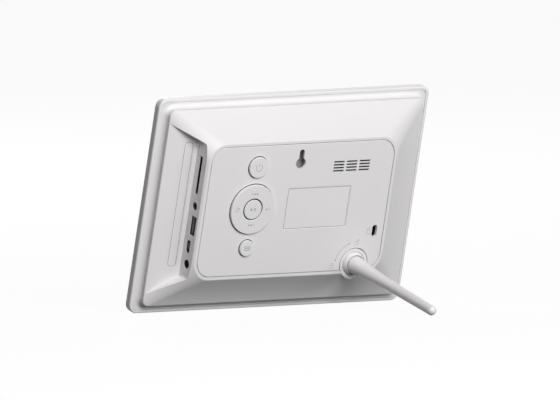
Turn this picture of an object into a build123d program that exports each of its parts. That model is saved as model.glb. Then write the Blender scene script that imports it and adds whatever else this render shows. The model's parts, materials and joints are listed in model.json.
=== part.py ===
from build123d import *
from math import atan2, cos, radians, sin, tan
import os

# Digital photo frame that stands on one round leg plugged into its back.
#
# Everything is drawn in the plane of the leaning frame: x to the right as seen from behind, y up
# along the frame, and z out of its back, counted from the ridge that runs round the rear of the rim.
# The plane "rim" carries that drawing to the standing frame, where +X is to the right as seen from
# the front, +Y points backwards and +Z is up, with the origin on the table under the middle of the
# whole.  Lengths are in millimetres and angles in degrees.

# ---------------------------------------------------------------- driving dimensions

# Stance
frame_width = 218.0         # across the rim
frame_height = 152.5        # along the leaning frame
lean = 14.87                # how far the frame leans back

# Front bezel, a shallow tray whose wall makes the rim
rim_depth = 6.0             # front face to rear ridge
rim_corner = 6.5            # rounding of the rim in plan
rim_wall = 2.3              # wall round the tray
rim_lip = 1.1               # rounding of the rear ridge
rim_edge = 1.5              # rounding of the front edge
bezel_face = 2.0            # thickness of the front face
bezel_border = 17.0         # width of the front face
bezel_bevel = 1.3           # bevel round the picture opening
bezel_corner = 2.0          # rounding of the picture opening
bezel_ledge = 2.0           # ledge inside the wall that carries the cover

# Display stack, from the front: window, mat, glass cell, light guide, tray, bracket
window_lap = 2.5            # how far the window reaches behind the bezel
window_thickness = 1.5
mat_thickness = 0.8
mat_bevel = 0.6
picture_width = 154.0       # visible picture, 7 inch at 16:9
picture_height = 86.6
picture_margin = 0.6        # mat opening beyond the picture
cell_border = 3.5           # glass beyond the picture
cell_thickness = 1.6
guide_thickness = 2.0
tray_sheet = 0.6            # pressed steel of the tray
tray_gap = 0.2              # cell to tray wall
bracket_sheet = 0.8         # steel of the display bracket
bracket_bar = 14.0          # width of its bars
ear_width = 9.0             # bracket ears, two at the top and two at the bottom
ear_spacing = 124.0
ear_reach = 2.4             # boss centre beyond the window's edge
boss_radius = 2.1           # bezel bosses under the ears
small_screw = 0.9           # shank radius
small_head = 1.8            # head radius
small_head_height = 0.9
screw_gap = 0.1             # hole wall round a screw

# Rear cover
flange_sink = 0.3           # flange below the ridge of the rim
flange_thickness = 1.5
flange_gap = 0.25           # parting line between bezel and cover
step_inset = 6.6            # rim to the step of the housing
step_corner = 4.8
step_top = 5.0              # height of the step's edge
step_edge = 0.7             # rounding of that edge
cove = 3.2                  # hollow moulding at the foot of the step
plateau = 20.5              # height of the flat back
plateau_border = 1.95        # flat rim round the panel
plateau_edge = 0.9          # rounding outside that rim
slope_flare = 0.35          # 0 is a straight slope, 1 a fully hollow one
slope_stages = 4
cover_wall = 2.0
ledge_thickness = 1.3       # ledge that carries the rear panel
ledge_width = 4.0

# Rear panel
panel_width = 146.9
panel_height = 91.8
panel_corner = 11.3
panel_y = 0.8               # panel's middle above the middle of the rim
panel_thickness = 1.5
panel_gap = 0.55
panel_edge = 0.35
tab_width = 8.0             # snap tabs under the panel
tab_thickness = 1.2
tab_barb = 0.6
tab_gap = 0.15
tab_spacing = 32.0          # between the tabs above and those below

# Port recess in the side
port_wall = 1.8             # wall between the recess and the inside
port_rim = 3.35             # panel pocket to the top of the port wall
port_draft = 0.7            # how far that wall leans out towards its foot
port_floor_out = 5.2        # floor height at the step
port_floor_in = 7.6         # floor height at the port wall
port_end_out = 8.8          # recess end inside the corner of the step
port_end_in = 0.4           # recess end inside the edge of the plateau
port_end_corner = 3.5
port_over = 5.0             # recess drawn on above the plateau, so that it opens it fully
strip_width = 7.2           # bare label strip on the floor
strip_length = 89.3
strip_y = 3.1
strip_corner = 2.4
strip_from_wall = 6.8       # port wall to the strip's middle
label_thickness = 0.15
label_sink = 0.4            # recess that takes a label
label_gap = 0.45

# Places on the panel are counted from its two sides
left = -panel_width / 2
right = panel_width / 2

# Buttons, on one line
key_inset = 37.65           # line of buttons from the panel's left side
key_x = left + key_inset
key_raise = 1.7             # caps above the panel
key_gap = 0.6               # cap to panel, all round
key_edge = 0.4
key_travel = 0.3
flange_reach = 1.15         # retaining flange beyond the cap
key_flange = 1.0
seat_gap = 0.05             # faces that touch when a key is released
stem_radius = 1.9
power_y = 31.9
power_radius = 7.3
menu_y = -25.5
menu_radius = 5.55
ring_y = 2.2
ring_radius = 17.4
ring_bore = 7.7
ring_tilt_room = 0.55       # ring flange below the panel, so that it can rock
ring_switch_radius = 13.6
ring_click_gap = 0.28       # nubs above their switches
nub_radius = 1.3
play_gap = 0.8              # cap to ring
play_flange = 0.8
play_reach = 1.3            # flange beyond the cap
play_room = 0.3             # flange below the ring
play_stem = 0.15
collar_gap = 0.4            # play flange to rocker collar
collar_width = 2.0
knuckle_radius = 0.7        # rocker collar's knuckles

# Switches and key board
switch_side = 5.0
switch_height = 1.1
plunger_radius = 1.5
plunger_proud = 0.3
plunger_depth = 0.6
running_gap = 0.05          # radial, between parts that slide or turn
key_board_thickness = 1.2
key_board_margin = 3.2      # board beyond its screws
key_post_radius = 2.3
key_post_spacing = 26.0     # across the board
key_post_above = 6.5        # upper posts above the power button
key_post_below = 5.0        # lower posts below the menu button
key_post_bore = 3.0         # depth of the screw holes

# Main board
board_thickness = 1.6
board_gap = 0.5             # board to the port wall
board_length = 82.5         # away from the port wall
board_top = 40.0
board_bottom = -43.0
board_notch = 0.6           # board to a post of the case
port_clear = 0.1            # tallest port below the ledge
standoff_radius = 2.3
near_standoff_inset = 27.45  # from the panel's left side
far_standoff_inset = 76.45
near_standoff_x = left + near_standoff_inset
far_standoff_x = left + far_standoff_inset
near_standoff_y = 37.4
far_standoff_y = 20.0
low_standoff_y = -38.0
standoff_places = [(near_standoff_x, near_standoff_y), (far_standoff_x, far_standoff_y),
                   (near_standoff_x, low_standoff_y), (far_standoff_x, low_standoff_y)]
small_screw_length = 4.0

# Ports: centre along the wall, and centre above the face of the main board
port_gap = 0.2              # port to its cut-out
card_y = 25.5
card_rise = 2.1
card_slot_width = 27.0      # cut-out in the wall
card_slot_height = 3.3
card_skin = 0.9             # foot of the port wall to the back of its thin part
card_mouth_width = 24.6
card_mouth_height = 2.5
card_wall = 1.0
card_depth = 24.0
phone_y = 3.6
phone_rise = 2.7
phone_nose = 2.6
phone_bore = 1.8
phone_body = 6.4
phone_depth = 12.5
usb_y = -10.0
usb_rise = 4.0
usb_width = 13.1
usb_height = 5.5
usb_sheet = 0.3
usb_depth = 14.0
usb_tongue = 1.6
usb_tongue_width = 11.2
usb_back = 4.0              # insulator behind the mouth
mini_y = -25.2
mini_width = 8.6
mini_height = 3.8
mini_chamfer = 1.0
mini_depth = 9.0
mini_back = 2.5
mini_tongue = 0.8
mini_drop = 0.6             # tongue below the middle of the mouth
power_in_y = -37.4
power_in_rise = 3.0
power_in_nose = 2.9
power_in_bore = 2.55
power_in_pin = 0.65
power_in_body = 7.0
power_in_depth = 12.0
power_in_reach = 9.5        # depth of the hole for the plug

# Columns of pieces on the main board, from the panel's left side
port_chip_inset = 19.45
fuse_inset = 29.45
link_inset = 37.45
processor_inset = 43.45
flex_inset = 46.45
amplifier_inset = 65.45
memory_inset = 67.45
port_chip_x = left + port_chip_inset
processor_x = left + processor_inset
memory_x = left + memory_inset

# Middle, size and thickness of each chip
chips = [
    (processor_x, 2.0, 14.0, 14.0, 1.4),
    (processor_x, 24.0, 18.0, 12.0, 1.2),
    (memory_x, -6.0, 10.0, 22.0, 1.2),
    (port_chip_x, -22.0, 6.5, 6.5, 2.4),
    (port_chip_x, -10.0, 5.0, 6.0, 1.5),
    (left + amplifier_inset, 30.0, 8.0, 6.0, 1.5),
    (left + fuse_inset, -14.0, 7.0, 3.0, 1.2),
]
capacitor_spacing = 7.0
capacitor_column = 7.5
capacitor_y = -26.0
capacitor_places = [
    (memory_x, capacitor_y),
    (memory_x, capacitor_y - capacitor_spacing),
    (memory_x - capacitor_column, capacitor_y),
]
capacitor_radius = 2.5
capacitor_height = 5.4
link_y = -31.0
link_place = (left + link_inset, link_y)
link_length = 15.0
link_width = 2.5
flex_x = left + flex_inset
flex_width = 20.0
flex_thickness = 0.3
flex_reach = 6.5            # cable's bend beyond the board's edge
flex_socket_y = -39.5
flex_socket_depth = 4.0
flex_socket_height = 1.6
flex_socket_wall = 1.2

# Keyhole and its cup
hanger_from_keys = 34.4
hanger_x = key_x + hanger_from_keys
hanger_y = 33.2
hanger_radius = 3.9         # screw head's entry
hanger_slot = 3.9           # width of the slot
hanger_rise = 9.7           # entry's centre to the top of the slot
cup_wall = 1.2
cup_room = 1.6              # cup's inside beyond the keyhole
cup_depth = 5.2

# Speaker and its grille
speaker_inset = 33.15
speaker_x = right - speaker_inset
speaker_y = 29.5
grille_slot = 8.4
grille_slit = 1.2
grille_pitch_x = 10.3
grille_pitch_y = 2.12
grille_columns = 3
grille_rows = 4
grille_wall = 0.7           # panel's thickness at the grille
grille_margin = 0.8         # thin part beyond the slits
speaker_radius = 13.0
speaker_lip = 2.2
speaker_depth = 4.2
speaker_sheet = 0.7
gasket_thickness = 0.8
magnet_radius = 7.0
magnet_height = 3.2
cone_sheet = 0.5

lead_radius = 0.5
lead_spacing = 2.0
lead_bend_radius = 1.6
lead_drop = 3.0             # leads above the face of the main board
lead_socket_y = 9.5
lead_place = (far_standoff_x, lead_socket_y)
lead_socket_side = 6.0
lead_socket_height = 4.4

# Rating label, left bare
rating_y = 0.8
rating_from_keys = 27.45
rating_inset = 30.9
rating_left = key_x + rating_from_keys
rating_right = right - rating_inset
rating_height = 29.6
rating_corner = 1.0

# Security lock slot
lock_inset = 6.85
lock_x = right - lock_inset
lock_y = -18.1
lock_width = 3.9            # opening in the panel
lock_height = 8.7
lock_slot_width = 3.2       # slot in the steel plate
lock_slot_height = 7.2
lock_plate_width = 7.0
lock_plate_height = 17.0
lock_plate_thickness = 1.2
stake_radius = 0.8

# Leg socket in the cover
socket_inset = 20.05
socket_x = right - socket_inset
socket_y = -40.8
socket_radius = 10.75
socket_bore = 8.6
socket_raise = 0.1          # ring above the panel
socket_rebate = 0.9         # depth of the rebate that takes the collar
socket_lip = 2.0            # height of the bayonet lips
socket_lip_bore = 7.2
socket_depth = 12.0
socket_floor = 1.2
twist = 90.0                # turn from locked to free
lug_angle = 40.0            # each of two lugs
lug_play = 2.0              # angle left beside a lug
lug_height = 2.0
bayonet_gap = 0.1

# Leg
spigot_radius = 7.0
spigot_length = 8.5
collar_gap_side = 0.4       # collar inside the rebate
cone_height = 2.5
cone_top_radius = 7.05
leg_root = 6.15
leg_neck = 3.75
leg_tip = 3.35
leg_neck_at = 47.0          # above the cone
leg_belly = 0.33            # how far the root tapers inside a straight line
leg_gap = 0.65              # shadow gap round the root
leg_gap_depth = 1.5
leg_relief = 0.7            # leg drawn in at its seat
leg_relief_end = 0.3        # above the cone
tenon_radius = 4.5
tenon_length = 8.0

# Case screws and their posts
post_radius = 3.3
case_screw = 1.3
case_head = 2.5
case_head_height = 1.3
case_socket = 0.9           # hexagon in the head
post_inset_top = 3.0        # post centre inside the pocket's edge
post_inset = 13.45          # upper posts inside the panel's sides
post_left_bottom_inset_x = 17.45
post_left_bottom_inset = 3.4
post_right_inset = 2.85
post_right_y = -31.0
post_right_bottom = (right - post_right_inset, post_right_y)

# ---------------------------------------------------------------- the plane of the frame

# The leg's round tip and the rim's rear ridge both touch the table, which sets the leg's length.
ridge_above_leg = socket_y + frame_height / 2 - rim_lip
tip_z = (ridge_above_leg * cos(radians(lean)) - leg_tip + rim_lip) / sin(radians(lean)) - rim_lip


def standing(y, z):
    """How far back and how high a point of the frame is, before the origin is placed."""
    back = y * sin(radians(lean)) + z * cos(radians(lean))
    up = y * cos(radians(lean)) - z * sin(radians(lean))
    return back, up


rearmost = standing(socket_y, tip_z)[0] + leg_tip
foremost = standing(-frame_height / 2 + rim_edge, -rim_depth + rim_edge)[0] - rim_edge
lowest = standing(-frame_height / 2 + rim_lip, -rim_lip)[1] - rim_lip
rim = Plane(
    origin=(0, -(rearmost + foremost) / 2, -lowest),
    x_dir=(-1, 0, 0),
    z_dir=(0, cos(radians(lean)), -sin(radians(lean))),
)
outward = Axis(rim.origin, rim.z_dir)


def at(x, y, z=0.0):
    """A point of the frame's own drawing, in the standing frame."""
    return rim.from_local_coords(Vector(x, y, z))


def profile(x, y):
    """Plane through (x, y) that draws half a turned piece: across it, and out of the back."""
    return Plane(at(x, y), x_dir=rim.x_dir, z_dir=-rim.y_dir)


def turning(x, y):
    """Axis out of the back at (x, y)."""
    return Axis(at(x, y), rim.z_dir)


def flat(x, y, z):
    """The plane of the frame at height z, with its origin at (x, y)."""
    return Plane(at(x, y, z), x_dir=rim.x_dir, z_dir=rim.z_dir)


def edges_at(piece, z):
    """Edges whose middle lies at height z."""
    return piece.edges().filter_by_position(outward, z - 0.01, z + 0.01)


def ring_sector(z, inner, outer, start, sweep):
    """Part of a flat ring round the leg's axis at height z, anticlockwise from a start angle."""
    with BuildSketch(flat(socket_x, socket_y, z)) as sector:
        with BuildLine():
            far = CenterArc((0, 0), outer, start, sweep)
            near = CenterArc((0, 0), inner, start, sweep)
            Line(far @ 0, near @ 0)
            Line(far @ 1, near @ 1)
        make_face()
    return sector.sketch


def mini_outline(grow):
    """Outline of the mini USB port, drawn along the port wall, with its lower corners cut off."""
    with BuildSketch() as outline:
        with Locations((mini_y, board_face + mini_rise)):
            Rectangle(mini_width + 2 * grow, mini_height + 2 * grow)
        chamfer(outline.vertices().sort_by(Axis.Y)[:2], length=mini_chamfer)
    return outline.sketch


# ---------------------------------------------------------------- worked out from those

front_z = -rim_depth
seat_z = front_z + bezel_face
opening_width = frame_width - 2 * bezel_border
opening_height = frame_height - 2 * bezel_border
window_width = opening_width + 2 * window_lap
window_height = opening_height + 2 * window_lap
window_corner = bezel_corner + window_lap / 2
mat_z = seat_z + window_thickness
cell_z = mat_z + mat_thickness
guide_z = cell_z + cell_thickness
tray_floor_z = guide_z + guide_thickness
bracket_z = tray_floor_z + tray_sheet
bracket_face = bracket_z + bracket_sheet
cell_width = picture_width + 2 * cell_border
cell_height = picture_height + 2 * cell_border
tray_width = cell_width + 2 * (tray_gap + tray_sheet)
tray_height = cell_height + 2 * (tray_gap + tray_sheet)
ear_y = window_height / 2 + ear_reach

flange_top = -flange_sink
flange_z = flange_top - flange_thickness
cover_flange_width = frame_width - 2 * (rim_wall + flange_gap)
cover_flange_height = frame_height - 2 * (rim_wall + flange_gap)
cover_flange_corner = rim_corner - rim_wall
step_width = frame_width - 2 * step_inset
step_height = frame_height - 2 * step_inset
pocket_width = panel_width + 2 * panel_gap
pocket_height = panel_height + 2 * panel_gap
pocket_corner = panel_corner + panel_gap
plateau_width = pocket_width + 2 * plateau_border
plateau_height = pocket_height + 2 * plateau_border
plateau_corner = pocket_corner + plateau_border
panel_under = plateau - panel_thickness
ledge_under = panel_under - ledge_thickness

port_x = -(pocket_width / 2 + port_rim + port_draft)      # foot of the port wall
port_plane = Plane(at(port_x, 0), x_dir=rim.y_dir, z_dir=rim.x_dir)
port_inside = port_draft + port_wall + port_clear         # foot of that wall to behind it
floor_tilt = atan2(port_floor_in - port_floor_out, step_width / 2 + port_x)
board_face = ledge_under - port_clear - usb_rise - usb_height / 2
board_z = board_face - board_thickness
board_left = port_x + port_inside + board_gap
card_body_width = card_mouth_width + 2 * card_wall
card_front = card_skin + running_gap
mini_rise = mini_height / 2 + seat_gap
strip_z = port_floor_in - strip_from_wall * tan(floor_tilt)
strip_plane = Plane(
    at(port_x - strip_from_wall, strip_y, strip_z),
    x_dir=rim.x_dir * cos(floor_tilt) + rim.z_dir * sin(floor_tilt),
    z_dir=rim.z_dir * cos(floor_tilt) - rim.x_dir * sin(floor_tilt),
)

ring_under = panel_under - ring_tilt_room - key_flange
play_flange_top = ring_under - play_room
play_under = play_flange_top - play_flange
plunger_top = play_under - play_stem - seat_gap
switch_top = plunger_top - plunger_proud
key_board_face = switch_top - switch_height
key_board_z = key_board_face - key_board_thickness
low_knuckle_z = key_board_face + seat_gap + knuckle_radius
high_knuckle_z = ring_under - seat_gap - knuckle_radius
key_cap_top = plateau + key_raise
key_flange_top = panel_under - seat_gap

socket_top = plateau + socket_raise
rebate_z = socket_top - socket_rebate
lip_under = rebate_z - socket_lip
socket_bottom = socket_top - socket_depth
lug_top = lip_under - bayonet_gap
collar_under = rebate_z + bayonet_gap
spigot_end = collar_under - spigot_length
cone_top = socket_top + cone_height
leg_seat = cone_top - leg_gap_depth
lug_turns = (90, 270)       # middles of the two lugs when the leg is locked

ring_switches = [(key_x + ring_switch_radius, ring_y), (key_x, ring_y + ring_switch_radius),
                 (key_x - ring_switch_radius, ring_y), (key_x, ring_y - ring_switch_radius)]
key_switches = [(key_x, power_y), (key_x, ring_y), (key_x, menu_y)]

post_top_y = panel_y + pocket_height / 2 - post_inset_top
post_bottom_y = panel_y - pocket_height / 2 + post_left_bottom_inset
key_posts = [(key_x + side * key_post_spacing / 2, y) for side in (-1, 1)
             for y in (power_y + key_post_above, menu_y - key_post_below)]
key_board_y = (power_y + key_post_above + menu_y - key_post_below) / 2
key_board_height = power_y + key_post_above - menu_y + key_post_below + 2 * key_board_margin
key_board_width = key_post_spacing + 2 * key_board_margin
stakes = [(lock_x, lock_y + side * (lock_height + lock_plate_height) / 4) for side in (-1, 1)]
rating_x = (rating_left + rating_right) / 2
rating_width = rating_right - rating_left
grille_width = (grille_columns - 1) * grille_pitch_x + grille_slot
grille_height = (grille_rows - 1) * grille_pitch_y + grille_slit
cup_width = 2 * (hanger_radius + cup_room + cup_wall)
cup_height = hanger_radius + hanger_rise + 2 * (cup_room + cup_wall)
cup_y = hanger_y + (hanger_rise - hanger_radius) / 2
ledge_half_width = pocket_width / 2 - ledge_width
ledge_top = panel_y + pocket_height / 2 - ledge_width
ledge_bottom = panel_y - pocket_height / 2 + ledge_width
tabs = [
    (hanger_x - tab_spacing / 2, ledge_top, rim.y_dir),
    (hanger_x + tab_spacing / 2, ledge_top, rim.y_dir),
    (hanger_x - tab_spacing / 2, ledge_bottom, -rim.y_dir),
    (hanger_x + tab_spacing / 2, ledge_bottom, -rim.y_dir),
    (-ledge_half_width, 25.0, -rim.x_dir), (-ledge_half_width, -25.0, -rim.x_dir),
    (ledge_half_width, 25.0, rim.x_dir), (ledge_half_width, 0.0, rim.x_dir),
]
case_head_under = panel_under - case_head_height - screw_gap
lead_z = board_face + lead_drop
posts = [(left + post_inset, post_top_y), (right - post_inset, post_top_y),
         (left + post_left_bottom_inset_x, post_bottom_y), post_right_bottom]
ears = [(side * ear_spacing / 2, rise * ear_y) for side in (-1, 1) for rise in (-1, 1)]

# ---------------------------------------------------------------- front bezel

with BuildPart() as front_bezel:
    with BuildSketch(rim.offset(front_z)):
        RectangleRounded(frame_width, frame_height, rim_corner)
    extrude(amount=rim_depth)
    fillet(edges_at(front_bezel, front_z), radius=rim_edge)
    fillet(edges_at(front_bezel, 0), radius=rim_lip)
    with BuildSketch(rim.offset(flange_z)):
        RectangleRounded(frame_width - 2 * rim_wall, frame_height - 2 * rim_wall, cover_flange_corner)
    extrude(amount=rim_depth, mode=Mode.SUBTRACT)
    with BuildSketch(rim.offset(seat_z)):
        RectangleRounded(
            frame_width - 2 * (rim_wall + bezel_ledge),
            frame_height - 2 * (rim_wall + bezel_ledge),
            cover_flange_corner - bezel_ledge / 2,
        )
    extrude(amount=rim_depth, mode=Mode.SUBTRACT)
    with BuildSketch(rim.offset(front_z)):
        RectangleRounded(opening_width, opening_height, bezel_corner)
    extrude(amount=bezel_face, mode=Mode.SUBTRACT)
    front_face = front_bezel.faces().filter_by(rim).sort_by(outward)[0]
    chamfer(front_face.inner_wires()[0].edges(), length=bezel_bevel)
    with BuildSketch(rim.offset(seat_z)):
        with Locations(*ears):
            Circle(boss_radius)
    extrude(amount=cell_z - seat_z)
    with BuildSketch(rim.offset(seat_z)):
        with Locations(*ears):
            Circle(small_screw + screw_gap)
    extrude(amount=cell_z - seat_z, mode=Mode.SUBTRACT)

# ---------------------------------------------------------------- display stack

with BuildPart() as display_window:
    with BuildSketch(rim.offset(seat_z)):
        RectangleRounded(window_width, window_height, window_corner)
    extrude(amount=window_thickness)

with BuildPart() as picture_mat:
    with BuildSketch(rim.offset(mat_z)):
        RectangleRounded(window_width, window_height, window_corner)
        Rectangle(picture_width + 2 * picture_margin, picture_height + 2 * picture_margin,
                  mode=Mode.SUBTRACT)
    extrude(amount=mat_thickness)
    mat_face = picture_mat.faces().filter_by(rim).sort_by(outward)[0]
    chamfer(mat_face.inner_wires()[0].edges(), length=mat_bevel)

with BuildPart() as display_cell:
    with BuildSketch(rim.offset(cell_z)):
        Rectangle(cell_width, cell_height)
    extrude(amount=cell_thickness)

with BuildPart() as light_guide:
    with BuildSketch(rim.offset(guide_z)):
        Rectangle(cell_width, cell_height)
    extrude(amount=guide_thickness)

with BuildPart() as backlight_tray:
    with BuildSketch(rim.offset(cell_z)):
        Rectangle(tray_width, tray_height)
    extrude(amount=bracket_z - cell_z)
    with BuildSketch(rim.offset(cell_z)):
        Rectangle(tray_width - 2 * tray_sheet, tray_height - 2 * tray_sheet)
    extrude(amount=tray_floor_z - cell_z, mode=Mode.SUBTRACT)

# The bracket lies on the tray.  Its ears step down beside the tray onto the mat and reach the bosses.
ear_inside = tray_height / 2 + tray_gap
ear_end = ear_y + small_head + screw_gap
with BuildPart() as display_bracket:
    with BuildSketch(rim.offset(bracket_z)):
        Rectangle(tray_width, tray_height)
        with GridLocations(tray_width / 2 - bracket_bar / 2, 0, 2, 1):
            Rectangle(tray_width / 2 - 1.5 * bracket_bar, tray_height - 2 * bracket_bar,
                      mode=Mode.SUBTRACT)
    extrude(amount=bracket_sheet)
    for side in (-1, 1):
        ear_middle = side * ear_spacing / 2
        with BuildSketch(Plane(at(ear_middle, 0), x_dir=rim.y_dir, z_dir=rim.x_dir)):
            with BuildLine():
                Polyline(
                    (ear_inside - bracket_bar / 2, bracket_z),
                    (ear_inside, bracket_z),
                    (ear_inside, cell_z),
                    (ear_end, cell_z),
                    (ear_end, cell_z + bracket_sheet),
                    (ear_inside + bracket_sheet, cell_z + bracket_sheet),
                    (ear_inside + bracket_sheet, bracket_face),
                    (ear_inside - bracket_bar / 2, bracket_face),
                    close=True,
                )
            make_face()
            mirror(about=Plane.YZ)
        extrude(amount=ear_width / 2, both=True)
    with BuildSketch(rim.offset(cell_z)):
        with Locations(*ears):
            Circle(small_screw + screw_gap)
    extrude(amount=bracket_sheet, mode=Mode.SUBTRACT)
    with BuildSketch(rim.offset(bracket_z)):
        with Locations(*posts):
            Circle(case_screw + running_gap)
    extrude(amount=bracket_sheet, mode=Mode.SUBTRACT)

with BuildPart() as bracket_screws:
    with BuildSketch(rim.offset(seat_z)):
        with Locations(*ears):
            Circle(small_screw)
    extrude(amount=cell_z + bracket_sheet - seat_z)
    with BuildSketch(rim.offset(cell_z + bracket_sheet)):
        with Locations(*ears):
            Circle(small_head)
    extrude(amount=small_head_height)

# ---------------------------------------------------------------- rear cover


def slope_z(share):
    """Height of the hollow slope at a share of its run from the step to the plateau."""
    rise = (1 - slope_flare) * share + slope_flare * share**2
    return step_top + (plateau - step_top) * rise


def housing_block(inset, drop, foot):
    """The housing from a foot height to its plateau, drawn in at the step and lowered on the slopes."""
    with BuildPart() as block:
        with BuildSketch(rim.offset(foot)):
            RectangleRounded(step_width - 2 * inset, step_height - 2 * inset, step_corner - inset)
        extrude(amount=step_top - drop - foot)
        for stage in range(slope_stages + 1):
            share = stage / slope_stages
            draw_in = 2 * inset * (1 - share)
            width = step_width + (plateau_width - step_width) * share - draw_in
            height = step_height + (plateau_height - step_height) * share - draw_in
            corner = step_corner - inset + (plateau_corner - step_corner + inset) * share
            with BuildSketch(rim.offset(slope_z(share) - drop)):
                with Locations((0, panel_y * share)):
                    RectangleRounded(width, height, corner)
        loft()
    return block.part


def port_recess(grow):
    """The space over the ports, grown into its floor, its end walls and its inner wall."""
    outside = -step_width / 2 - step_inset
    floor_outside = port_floor_in - (port_x - outside) * tan(floor_tilt)
    inner_x = port_x + port_draft + grow
    inner_top = panel_y + plateau_height / 2 - port_end_in + grow
    inner_bottom = panel_y - plateau_height / 2 + port_end_in - grow
    outer = step_height / 2 - port_end_out + grow
    run = step_width / 2 + port_x
    outer_top = outer + (outer - inner_top) / run * step_inset
    outer_bottom = -outer - (outer + inner_bottom) / run * step_inset
    with BuildPart() as space:
        with BuildSketch(profile(0, 0)):
            with BuildLine():
                Polyline(
                    (outside, floor_outside - grow),
                    (port_x + grow, port_floor_in - grow),
                    (inner_x, plateau),
                    (inner_x, plateau + port_over),
                    (outside, plateau + port_over),
                    close=True,
                )
            make_face()
        extrude(amount=frame_height / 2, both=True)
        with BuildSketch(rim):
            with BuildLine():
                Polyline(
                    (inner_x, inner_top),
                    (outside, outer_top),
                    (outside, outer_bottom),
                    (inner_x, inner_bottom),
                    close=True,
                )
            inner_corners = make_face().vertices().sort_by(Axis.X)[-2:]
            fillet(inner_corners, radius=port_end_corner)
        extrude(amount=plateau + port_over, mode=Mode.INTERSECT)
    return space.part


housing = housing_block(0, 0, flange_top)
housing_inside = housing_block(cover_wall, panel_thickness + ledge_thickness, flange_z)
recess_space = port_recess(0)
recess_shell = port_recess(port_wall)

with BuildPart() as cover_inside:
    add(housing_inside)
    add(recess_shell, mode=Mode.SUBTRACT)

with BuildPart() as rear_cover:
    with BuildSketch(rim.offset(flange_z)):
        RectangleRounded(cover_flange_width, cover_flange_height, cover_flange_corner)
    extrude(amount=flange_thickness)
    with BuildSketch(rim.offset(flange_top)):
        RectangleRounded(step_width, step_height, step_corner)
    extrude(amount=step_top - flange_top)
    flange_ring = rear_cover.faces().filter_by(rim).sort_by(outward)[1]
    fillet(flange_ring.inner_wires()[0].edges(), radius=cove)
    add(housing)
    fillet(edges_at(rear_cover, step_top), radius=step_edge)
    fillet(edges_at(rear_cover, plateau), radius=plateau_edge)
    add(recess_space, mode=Mode.SUBTRACT)
    add(cover_inside.part, mode=Mode.SUBTRACT)
    # pocket for the rear panel, and the opening inside its ledge
    with BuildSketch(rim.offset(panel_under)):
        with Locations((0, panel_y)):
            RectangleRounded(pocket_width, pocket_height, pocket_corner)
    extrude(amount=panel_thickness, mode=Mode.SUBTRACT)
    with BuildSketch(rim.offset(ledge_under)):
        with Locations((0, panel_y)):
            RectangleRounded(pocket_width - 2 * ledge_width, pocket_height - 2 * ledge_width,
                             pocket_corner - ledge_width)
    extrude(amount=ledge_thickness, mode=Mode.SUBTRACT)
    # posts for the case screws
    with BuildSketch(rim.offset(bracket_face)):
        with Locations(*posts):
            Circle(post_radius)
    extrude(amount=panel_under - bracket_face)
    with BuildSketch(rim.offset(bracket_face)):
        with Locations(*posts):
            Circle(case_screw + screw_gap)
    extrude(amount=panel_under - bracket_face, mode=Mode.SUBTRACT)
    with BuildSketch(rim.offset(panel_under - case_head_height - screw_gap)):
        with Locations(*posts):
            Circle(case_head + screw_gap)
    extrude(amount=case_head_height + screw_gap, mode=Mode.SUBTRACT)
    # notches in the ledge for the keyhole's cup and for the lock plate
    with BuildSketch(rim.offset(ledge_under)):
        with Locations((hanger_x, cup_y)):
            Rectangle(cup_width + 2 * panel_gap, cup_height + 2 * panel_gap)
        with Locations((lock_x, lock_y)):
            Rectangle(lock_plate_width + 2 * panel_gap, lock_plate_height + 2 * panel_gap)
    extrude(amount=ledge_thickness, mode=Mode.SUBTRACT)
    # leg socket: its tube, the throat between the bayonet lips, and the rebate over them
    with BuildSketch(flat(socket_x, socket_y, socket_bottom)):
        Circle(socket_radius)
    extrude(amount=socket_depth)
    with BuildSketch(flat(socket_x, socket_y, socket_bottom + socket_floor)):
        Circle(socket_lip_bore)
    extrude(amount=socket_depth, mode=Mode.SUBTRACT)
    with BuildSketch(flat(socket_x, socket_y, rebate_z)):
        Circle(socket_bore)
    extrude(amount=socket_rebate, mode=Mode.SUBTRACT)
    # the chamber in which the two lugs turn between stops, and the slots that let them in
    for turn in lug_turns:
        extrude(
            ring_sector(socket_bottom + socket_floor, socket_lip_bore, socket_bore,
                        turn - lug_angle / 2 - lug_play, twist + lug_angle + 2 * lug_play),
            amount=lip_under - socket_bottom - socket_floor,
            mode=Mode.SUBTRACT,
        )
        extrude(
            ring_sector(lip_under, socket_lip_bore, socket_bore,
                        turn + twist - lug_angle / 2 - lug_play, lug_angle + 2 * lug_play),
            amount=socket_lip,
            mode=Mode.SUBTRACT,
        )
    # cut-outs for the ports, through their wall
    with BuildSketch(port_plane.offset(-port_wall)):
        with Locations((card_y, board_face + card_rise)):
            RectangleRounded(card_slot_width, card_slot_height, card_slot_height / 4)
        with Locations((phone_y, board_face + phone_rise)):
            Circle(phone_nose + port_gap)
        with Locations((usb_y, board_face + usb_rise)):
            Rectangle(usb_width + 2 * port_gap, usb_height + 2 * port_gap)
        add(mini_outline(port_gap))
        with Locations((power_in_y, board_face + power_in_rise)):
            Circle(power_in_nose + port_gap)
    extrude(amount=2 * port_wall + port_draft + port_clear, mode=Mode.SUBTRACT)
    # pocket behind that wall, so that it is thin round the card slot
    with BuildSketch(port_plane.offset(card_skin)):
        with Locations((card_y, board_face + card_rise)):
            Rectangle(card_body_width + 2 * port_gap, 2 * card_rise + 2 * port_gap)
    extrude(amount=port_inside - card_skin, mode=Mode.SUBTRACT)
    # shallow bed for the strip beside the ports
    with BuildSketch(strip_plane):
        RectangleRounded(strip_width, strip_length, strip_corner)
    extrude(amount=-label_sink, mode=Mode.SUBTRACT)

# ---------------------------------------------------------------- rear panel

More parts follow.
